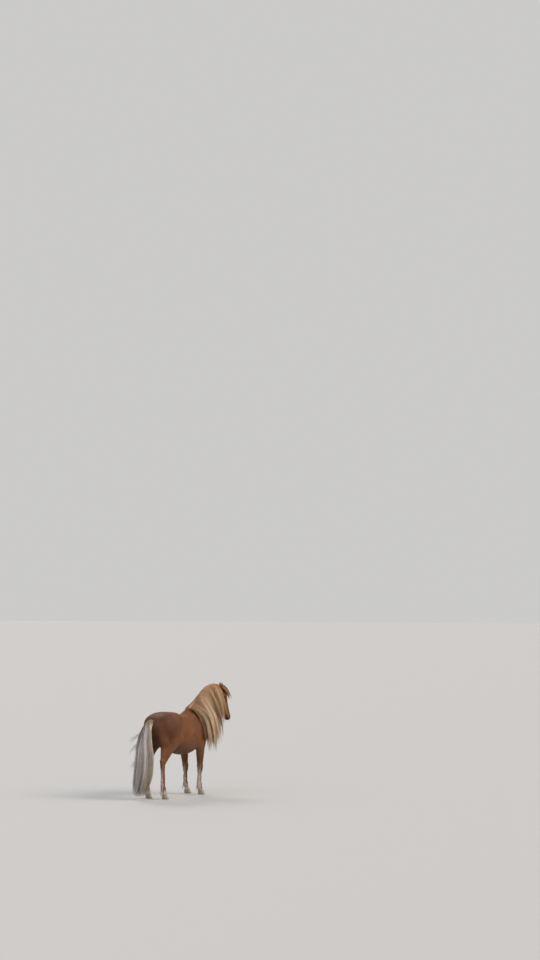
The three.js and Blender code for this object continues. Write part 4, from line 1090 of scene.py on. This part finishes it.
def buildTail():
    # each lock keeps its own place round the tail's section, from its root on the dock to its tip
    n, rows = tailLook["locks"], 24
    angle = 2 * np.pi * ((np.arange(n) * 0.618) % 1)
    inner = np.sqrt(draw.random(n)) * 0.65 + 0.3
    start = 0.03 + 0.33 * draw.random(n)
    end = np.minimum(1, 0.84 + 0.2 * draw.random(n))
    s = np.linspace(0, 1, rows)
    share = (start[:, None] + (end - start)[:, None] * s).ravel()
    x, y, z, depth, width = along(tailLook["rows"], share).T.reshape(5, n, rows)
    spread = (0.28 + 0.72 * smoothStep(0, 0.35, s)[None, :]) * inner[:, None]
    phase = draw.uniform(0, 6.28, (n, 1))
    bend = np.sin(phase + s[None, :] * draw.uniform(3, 6, (n, 1))) * s[None, :]
    cosA, sinA = np.cos(angle)[:, None], np.sin(angle)[:, None]
    paths = np.stack([x + cosA * depth * spread + 8 * bend, y + sinA * width * spread + 20 * bend, z], -1)
    outward = np.concatenate([cosA / 60, sinA / 110, np.full((n, 1), 1e-4)], axis=1)
    ways = np.repeat(unit(outward)[:, None], rows, axis=1)
    strands, normals = strandsFrom(paths, ways, tailLook["strandsPerLock"], spread=14, depth=8, wave=10,
                                   gather=0.6, steps=13)
    strands[..., 2] = np.maximum(strands[..., 2], bodySizes["tailClear"])
    count = len(strands)
    widths = tailLook["width"] * draw.uniform(0.6, 1.3, count)
    # painted shade: the locks at the parting down the middle are darkened
    dark = (np.abs(np.sin(angle)) < 0.3) * 0.45  # the parting down the middle
    lockTint = np.repeat(draw.random(n) ** 2 * 0.8 + dark, tailLook["strandsPerLock"])
    tint = np.clip(lockTint + draw.random(count) * 0.4, 0, 1)
    # painted warm sunlight: locks on the tail's right side take the tail's warm colour, while the left keeps
    # the silver
    lockWarm = smoothStep(0.25, -0.45, np.sin(angle) * inner + 0.45 * draw.normal(0, 1, n))
    warm = np.repeat(lockWarm, tailLook["strandsPerLock"])
    addStrands("tailHair", strands, normals, widths, widths * 0.45, tint, tailMaterial, "tail",
               strands[:, 0], {"warm": warm}, softness=0.35)
    wisps = np.repeat(np.array(tailLook["wisps"], float), tailLook["wispsEach"], axis=0)
    m = len(wisps)
    x, y, z, _, width = along(tailLook["rows"], wisps[:, 0] + draw.normal(0, 0.012, m)).T
    reach, drop = wisps[:, 1] * draw.uniform(0.78, 1.0, m), wisps[:, 2] * draw.uniform(0.7, 1.1, m)
    t = np.linspace(0, 1, 16)[None]
    grow = lambda v: v[:, None]
    paths = np.stack([grow(x) - 60 * t, grow(y + width * 0.5) + grow(reach + 40) * t,
                      grow(z) - grow(drop) * (0.25 * t + 0.95 * t * t - 0.35 * t ** 4)], -1)
    ways = np.tile(vec(-1, 0, 0), (m, 16, 1))
    strands, normals = strandsFrom(paths, ways, tailLook["strandsPerWisp"], spread=9, depth=6, wave=12,
                                   gather=0.5, steps=13)
    count = len(strands)
    widths, thick = np.full(count, tailLook["wispWidth"]), np.full(count, tailLook["wispThickness"])
    addStrands("tailWisps", strands, normals, widths, thick, draw.random(count) * 0.5, tailMaterial,
               "tail", strands[:, 0], {"warm": np.zeros(count)})


buildTail()
featherLook = {"locks": 44, "strandsPerLock": 8, "length": (55, 105), "width": 2.3}


def buildFeathers():
    # locks from the back half of each fetlock, down over the heel
    paths, ways = [], []
    n = featherLook["locks"]
    fetlocks = []
    for side in (1, -1):
        step = bodySizes["leftForeStep"] if side > 0 else 0
        foreX = 392 + step - bodySizes["foreFootBack"]
        fetlocks.append((foreX, bodySizes["foreFootOut"] * side, foreLeg(step), side))
        fetlocks.append((-650, bodySizes["hindFootOut"] * side, hindForms, side))
    for x, y, listed, side in fetlocks:
        z = draw.uniform(118, 330, n)
        angle = np.pi + draw.uniform(-1.25, 1.25, n) * smoothStep(420, 160, z)
        out = np.stack([np.cos(angle), np.sin(angle), np.zeros(n)], 1)
        p = np.stack([np.full(n, x) + np.where(z > 180, -8, 0), np.full(n, y), z], 1)
        for _ in range(40):
            p = p + out * (forms(p, listed, [side]) < -2)[:, None] * 2.0
        length = draw.uniform(*featherLook["length"], n) * np.where(z > 190, 0.7, 1.0)
        length = np.minimum(length, p[:, 2] - 14)
        s = np.linspace(0, 1, 10)
        atBack = smoothStep(0.6, -0.8, np.cos(angle))[:, None]
        bulge = np.sin(s * 2.0)[None, :] * draw.uniform(5, 18, (n, 1)) * atBack
        drop = vec(0, 0, -1) * (length[:, None, None] * s[None, :, None])
        path = p[:, None] + out[:, None] * (bulge[..., None] - 3) + drop
        paths.append(path)
        ways.append(np.repeat(out[:, None], 10, axis=1))
    paths, ways = np.concatenate(paths), np.concatenate(ways)
    strands, normals = strandsFrom(paths, ways, featherLook["strandsPerLock"], spread=5, depth=2, wave=2,
                                   gather=0.5, steps=8)
    strands[..., 2] = np.maximum(strands[..., 2], 8)
    widths = featherLook["width"] * draw.uniform(0.7, 1.3, len(strands))
    addStrands("feathers", strands, normals, widths, widths * 0.4, draw.random(len(strands)) * 0.45,
               featherMaterial, None, strands[:, 0], {"warm": draw.random(len(strands)) * 0.4})


buildFeathers()


def gridFaces(rows, columns, closed=True):
    # quads between the rows and columns of a grid, joined round where closed
    r, c = np.meshgrid(np.arange(rows - 1), np.arange(columns if closed else columns - 1), indexing="ij")
    r, c = r.ravel(), c.ravel()
    n = (c + 1) % columns
    return np.stack([r * columns + c, r * columns + n, (r + 1) * columns + n, (r + 1) * columns + c], 1)


# Hooves: slanted wall with growth rings, bevelled at the ground, closed by a sole and a domed top
hoofLook = {"horn": (0.46, 0.39, 0.30, 1), "hornDark": (0.20, 0.15, 0.11, 1), "rings": 9, "ringDepth": 0.5}


def hoofMaterial():
    material, tree, shader = newMaterial("hoofHorn", Roughness=0.5, Specular_IOR_Level=0.4)
    place = tree.nodes.new("ShaderNodeTexCoord").outputs["Object"]
    mapping = tree.nodes.new("ShaderNodeMapping")
    mapping.inputs["Scale"].default_value = (60, 60, 6)
    tree.links.new(place, mapping.inputs["Vector"])
    streak = noise(tree, mapping.outputs["Vector"], 2.2, 4.0)
    ring = noise(tree, vectorNode(tree, "MULTIPLY", place, (4.0, 4.0, 150.0)), 1.0, 2.0)
    colour = mixColour(tree, ranged(tree, streak, 0.35, 0.7), hoofLook["horn"], hoofLook["hornDark"])
    colour = mixColour(tree, ranged(tree, attribute(tree, "ground"), 0.0, 1.0, 0.0, 0.55), colour,
                       (0.09, 0.075, 0.06, 1))
    tree.links.new(colour, shader.inputs["Base Color"])
    tree.links.new(ranged(tree, streak, 0.3, 0.7, 0.4, 0.65), shader.inputs["Roughness"])
    bumpInto(tree, shader, mathNode(tree, "ADD", streak, ring), 0.5, 0.0015)
    return material


hornMaterial = hoofMaterial()


def buildHooves():
    height = bodySizes["coronetHeight"]
    limbs = (
        ("fore", 458 - bodySizes["foreFootBack"], bodySizes["foreFootOut"], 122, 116),
        ("hind", -bodySizes["hindFootBack"], bodySizes["hindFootOut"] + 4, 118, 108),
    )
    for limb, x, out, spanX, spanY in limbs:
        for side, label in ((1, "left"), (-1, "right")):
            cx = x + (bodySizes["leftForeStep"] if limb == "fore" and side > 0 else 0)
            level = np.concatenate([[0, 0, 0, 0.02, 0.06], np.linspace(0.12, 1, 26), [1.02, 1.0]])
            wallShare = 1 - 0.22 * np.linspace(0.12, 1, 26)
            share = np.concatenate([[0.02, 0.6, 0.93, 0.985, 1.0], wallShare, [0.6, 0.05]])
            a = np.linspace(0, 2 * np.pi, 72, endpoint=False)
            shape = np.where(np.cos(a) < 0, 0.8 + 0.04 * np.cos(6 * a), 1.0)
            ring = 1 + hoofLook["ringDepth"] / 60 * np.sin(level[:, None] * hoofLook["rings"] * 2 * np.pi)
            back = -32 * level
            z = level * (height - 8)
            px = cx + back[:, None] + np.cos(a)[None] * (spanX / 2) * share[:, None] * shape[None] * ring
            py = out * side + np.sin(a)[None] * (spanY / 2) * share[:, None] * ring
            pz = z[:, None] * (1 + 0.22 * np.cos(a)[None]) + np.where(level > 0.01, 3, 0)[:, None]
            points = np.stack([px, py, pz], -1).reshape(-1, 3)
            faces = gridFaces(len(level), len(a))
            thing = addMesh(f"hoof_{limb}_{label}", points, faces, hornMaterial,
                            {"ground": np.repeat(smoothStep(0.3, 0, level), len(a))})
            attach(thing, "root")
            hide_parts(f"hoof_{limb}_{label}")


buildHooves()

# Eyes: a ball with a dark brown iris and a pupil that lies level, and lids that wrap it
eyeLook = {"iris": (0.06, 0.024, 0.009, 1), "rim": (0.012, 0.006, 0.004, 1), "irisShare": 0.95}


def eyeMaterial():
    material, tree, shader = newMaterial("eyeball", Roughness=0.1, Specular_IOR_Level=0.16,
                                         Coat_Weight=0.05, Coat_Roughness=0.02)
    radial, level = attribute(tree, "radial"), attribute(tree, "pupil")
    colour = mixColour(tree, ranged(tree, radial, 0.0, 0.55), eyeLook["iris"], eyeLook["rim"])
    colour = mixColour(tree, ranged(tree, level, 0.9, 1.1, 1.0, 0.0), colour, (0.003, 0.003, 0.004, 1))
    colour = mixColour(tree, ranged(tree, radial, 0.86, 0.98), colour, (0.16, 0.11, 0.09, 1))
    tree.links.new(colour, shader.inputs["Base Color"])
    return material


ballMaterial = eyeMaterial()


def buildEyes():
    r = bodySizes["eyeRadius"]
    for side, label in ((1, "left"), (-1, "right")):
        centre, axis, across, up = eyeFrame(side)
        polar = np.linspace(0, np.pi, 33)
        a = np.linspace(0, 2 * np.pi, 48, endpoint=False)
        bulge = 1 + 0.035 * np.exp(-(polar / 0.5) ** 2)
        ring, height = np.sin(polar)[:, None], np.cos(polar)[:, None] * np.ones((33, 48))
        local = np.stack([ring * np.cos(a), ring * np.sin(a), height], -1)
        place = local[..., :1] * across + local[..., 1:2] * up + local[..., 2:] * axis
        q = centre + r * bulge[:, None, None] * place
        radial = np.repeat(polar / (eyeLook["irisShare"] * 1.2), 48)
        pupil = np.sqrt((local[..., 0] / 0.46) ** 2 + (local[..., 1] / 0.24) ** 2) + (local[..., 2] < 0) * 5
        faces = gridFaces(33, 48)
        if np.cross(across, up) @ axis < 0:
            faces = faces[:, ::-1]
        thing = addMesh(f"eye_{label}", fromHead(q.reshape(-1, 3)), faces, ballMaterial,
                        {"radial": radial, "pupil": pupil.ravel()})
        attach(thing, "root")
        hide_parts(f"eye_{label}")


buildEyes()

lidLook = {"wide": 0.98, "upper": 0.62, "lower": 0.46, "rim": 3.2, "reach": 0.66}


def buildLids():
    # round the eye, a profile from inside the lid's edge, over the edge and a fold, out onto the skin
    n, m = 72, 22
    a = np.linspace(0, 2 * np.pi, n, endpoint=False)
    v = np.linspace(0, 1, m)
    r = bodySizes["eyeRadius"]
    for side, label in ((1, "left"), (-1, "right")):
        centre, axis, across, up = eyeFrame(side)
        tall = np.where(np.sin(a) > 0, lidLook["upper"], lidLook["lower"])
        almond = lidLook["wide"] * np.cos(a), tall * np.sin(a) * np.abs(np.sin(a)) ** 0.25
        opening = np.hypot(*almond)
        turn = np.arctan2(almond[1], almond[0])
        wider = 1 + 0.35 * np.maximum(0, np.sin(a))[:, None]
        spread = opening[:, None] + (v[None] - 0.12) * lidLook["reach"] * wider
        sideways = np.cos(turn)[:, None, None] * across + np.sin(turn)[:, None, None] * up
        ways = np.sin(spread)[..., None] * sideways + np.cos(spread)[..., None] * axis
        ways = ways.reshape(-1, 3)
        middlePoint = fromHead(centre)
        world = ways @ headAxes
        toSkin = reachTo(-skinLook["coatDepth"], np.tile(middlePoint, (len(world), 1)), world, 80.0, 14)
        skinDistance = toSkin.reshape(n, m) / headScale
        edge = r + 0.5 + lidLook["rim"] * smoothStep(0.0, 0.16, v)[None]
        fold = -1.3 * np.exp(-((v[None] - 0.42) / 0.05) ** 2) * np.maximum(0, np.sin(a))[:, None]
        fold = fold - 0.8 * np.exp(-((v[None] - 0.5) / 0.05) ** 2) * np.maximum(0, -np.sin(a))[:, None]
        reach = lerp(edge, skinDistance + 0.2, smoothStep(0.2, 0.85, v)[None]) + fold
        reach = np.where(v[None] > 0.94, reach - 3 * (v[None] - 0.94) / 0.06, reach)
        q = centre + ways * reach.reshape(-1, 1)
        points = fromHead(q)
        faces = gridFaces(n, m, closed=False)
        wrap = np.stack([(n - 1) * m + np.arange(m - 1), (n - 1) * m + np.arange(1, m), np.arange(1, m),
                         np.arange(m - 1)], 1)
        faces = np.concatenate([faces, wrap])
        if (faceCrosses(points, faces) * (points[faces].mean(1) - middlePoint)).sum() < 0:
            faces = faces[:, ::-1]
        marks = regions(points)
        marks["lid"] = np.tile(0.25 + 1.35 * smoothStep(0.5, 0.1, v), n)
        thing = addMesh(f"lids_{label}", points, faces, skinMaterial, {**marks, "flow": flowOf(points)})
        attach(thing, "root")


buildLids()

earLook = {"wall": 3.2, "hairs": 260, "hairLength": (12, 30), "hairWidth": 1.8, "hairThickness": 0.8}


def buildEars():
    # across the ear the wall runs round its back as an arc, from one edge to the other, then back inside it
    for side, label in ((1, "left"), (-1, "right")):
        base = fromHead([4, 50 * side, 62])
        rise = unit(headDown * -0.93 + headLeft * 0.2 * side + headOut * 0.3)
        face = unit(headOut * 0.8 + headLeft * 0.6 * side)
        front = unit(face - rise * (face @ rise))
        across = np.cross(rise, front)
        t = np.concatenate([np.linspace(-0.14, 0.9, 30), [0.94, 0.97, 0.99, 1.0]])
        closing = 1 - np.maximum(t, 0) ** 2.6
        half = (22 + 9 * np.sin(np.pi * np.minimum(1, np.maximum(t, 0) * 1.25))) * closing
        half = np.maximum(half, 0.6)
        middleLine = base + rise * (t * bodySizes["earHeight"])[:, None] + front * (10 * t * (1 - t))[:, None]
        openHalf = np.pi * (0.02 + 0.34 * smoothStep(0.02, 0.45, t))
        v = np.linspace(-1, 1, 25)
        outer = v[None] * (np.pi - openHalf[:, None])
        wall = np.minimum(earLook["wall"], half * 0.4)[:, None]
        rings = []
        for angle, radius in ((outer, half[:, None]), (outer[:, ::-1], half[:, None] - wall)):
            sideways, backward = np.sin(angle) * radius, np.cos(angle) * radius * 0.72
            rings.append(middleLine[:, None] + across * sideways[..., None] - front * backward[..., None])
        points = np.concatenate(rings, axis=1)
        rows, columns = points.shape[:2]
        points = points.reshape(-1, 3)
        faces = gridFaces(rows, columns)
        centre = np.repeat(middleLine, columns, axis=0)[faces[:, 0]]
        outerFace = (faces[:, 0] % columns) < 24
        if (faceCrosses(points, faces) * (points[faces[:, 0]] - centre))[outerFace].sum() < 0:
            faces = faces[:, ::-1]
        marks = {name: np.zeros(len(points)) for name in markAndShadeNames}
        marks["grain"] = np.ones(len(points))
        inside = np.tile((np.arange(columns) >= 25) * 1.0, rows)
        marks["pale"] = inside * 0.35
        marks["top"] = (1 - inside) * 0.6 * np.repeat(smoothStep(0.4, 1.0, t), columns)
        aroundEar = np.tile(np.arange(columns) * 0.003, rows)
        flow = np.stack([aroundEar, np.repeat(t * 0.12, columns), np.zeros(len(points))], 1)
        thing = addMesh(f"ear_{label}", points, faces, skinMaterial, {**marks, "flow": flow})
        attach(thing, "root")
        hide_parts(f"ear_{label}")
        n = earLook["hairs"]  # soft hair from both edges across the cup
        s = draw.uniform(0.02, 0.86, n)
        row = np.interp(s, t, np.arange(len(t))).astype(int)
        grid = points.reshape(rows, columns, 3)
        edge = np.where(draw.random(n) < 0.5, 25, 49)
        root = grid[row, edge]
        inward = unit(middleLine[row] - root)
        length = draw.uniform(*earLook["hairLength"], n) * (1 - 0.5 * s)
        q = np.linspace(0, 1, 6)[None, :, None]
        curl = front * 6 * np.sin(q * 2.2)
        paths = root[:, None] + (inward[:, None] * 0.55 + rise * 0.75) * length[:, None, None] * q + curl
        ways = np.tile(front, (n, 6, 1))
        widths, thick = np.full(n, earLook["hairWidth"]), np.full(n, earLook["hairThickness"])
        addStrands(f"earHair_{label}", paths, ways, widths, thick, draw.random(n), featherMaterial,
                   None, root, {"warm": np.full(n, 0.5)})


buildEars()

# Studio: floor, soft lights and the camera
studioLook = {"floor": (0.47, 0.475, 0.485, 1), "world": 0.6, "key": 1.9, "fill": 0.6, "rim": 0.8}
floorMesh = bpy.data.meshes.new("floor")
floorMesh.from_pydata([(-300, -300, 0), (300, -300, 0), (300, 300, 0), (-300, 300, 0)], [], [(0, 1, 2, 3)])
floor = bpy.data.objects.new("floor", floorMesh)
bpy.context.scene.collection.objects.link(floor)
floorMaterial = newMaterial("studioFloor", Base_Color=studioLook["floor"], Roughness=0.85)[0]
floorMesh.materials.append(floorMaterial)

world = bpy.data.worlds.new("studioWorld")
world.use_nodes = True
world.node_tree.nodes["Background"].inputs["Color"].default_value = (1.0, 0.992, 0.98, 1)
world.node_tree.nodes["Background"].inputs["Strength"].default_value = studioLook["world"]
bpy.context.scene.world = world
for label, power, angle, colour, way in (
    ("keyLight", studioLook["key"], 30, (1.0, 0.90, 0.78), (0.33, -1.0, 0.85)),
    ("fillLight", studioLook["fill"], 60, (0.86, 0.9, 1.0), (-1.0, 0.1, 0.8)),
    ("rimLight", studioLook["rim"], 25, (1.0, 0.93, 0.85), (0.6, 0.8, 0.9)),
):
    lamp = bpy.data.lights.new(label, "SUN")
    lamp.energy, lamp.angle, lamp.color = power, math.radians(angle), colour
    holder = bpy.data.objects.new(label, lamp)
    holder.rotation_euler = (-Vector(way)).to_track_quat("-Z", "Y").to_euler()
    bpy.context.scene.collection.objects.link(holder)
bpy.context.scene.view_settings.view_transform = "Standard"

cameraLook = {"focal": 78.75, "distance": 33.9, "height": 3.05, "pitch": 3.41, "across": 91 / 2100}
awayWay = vec(0.848, 0.53, 0)
rightWay = vec(0.53, -0.848, 0)
cameraData = bpy.data.cameras.new("camera")
cameraData.lens, cameraData.sensor_width = cameraLook["focal"], 36
cameraData.clip_end = 1000
camera = bpy.data.objects.new("camera", cameraData)
place = -awayWay * cameraLook["distance"] + rightWay * cameraLook["across"] * cameraLook["distance"]
camera.location = Vector(place - middle / 1000) + Vector((0, 0, cameraLook["height"]))
pitch = math.radians(cameraLook["pitch"])
looking = Vector(awayWay * math.cos(pitch)) + Vector((0, 0, math.sin(pitch)))
camera.rotation_mode = "QUATERNION"
camera.rotation_quaternion = looking.to_track_quat("-Z", "Y")
bpy.context.scene.collection.objects.link(camera)
bpy.context.scene.camera = camera
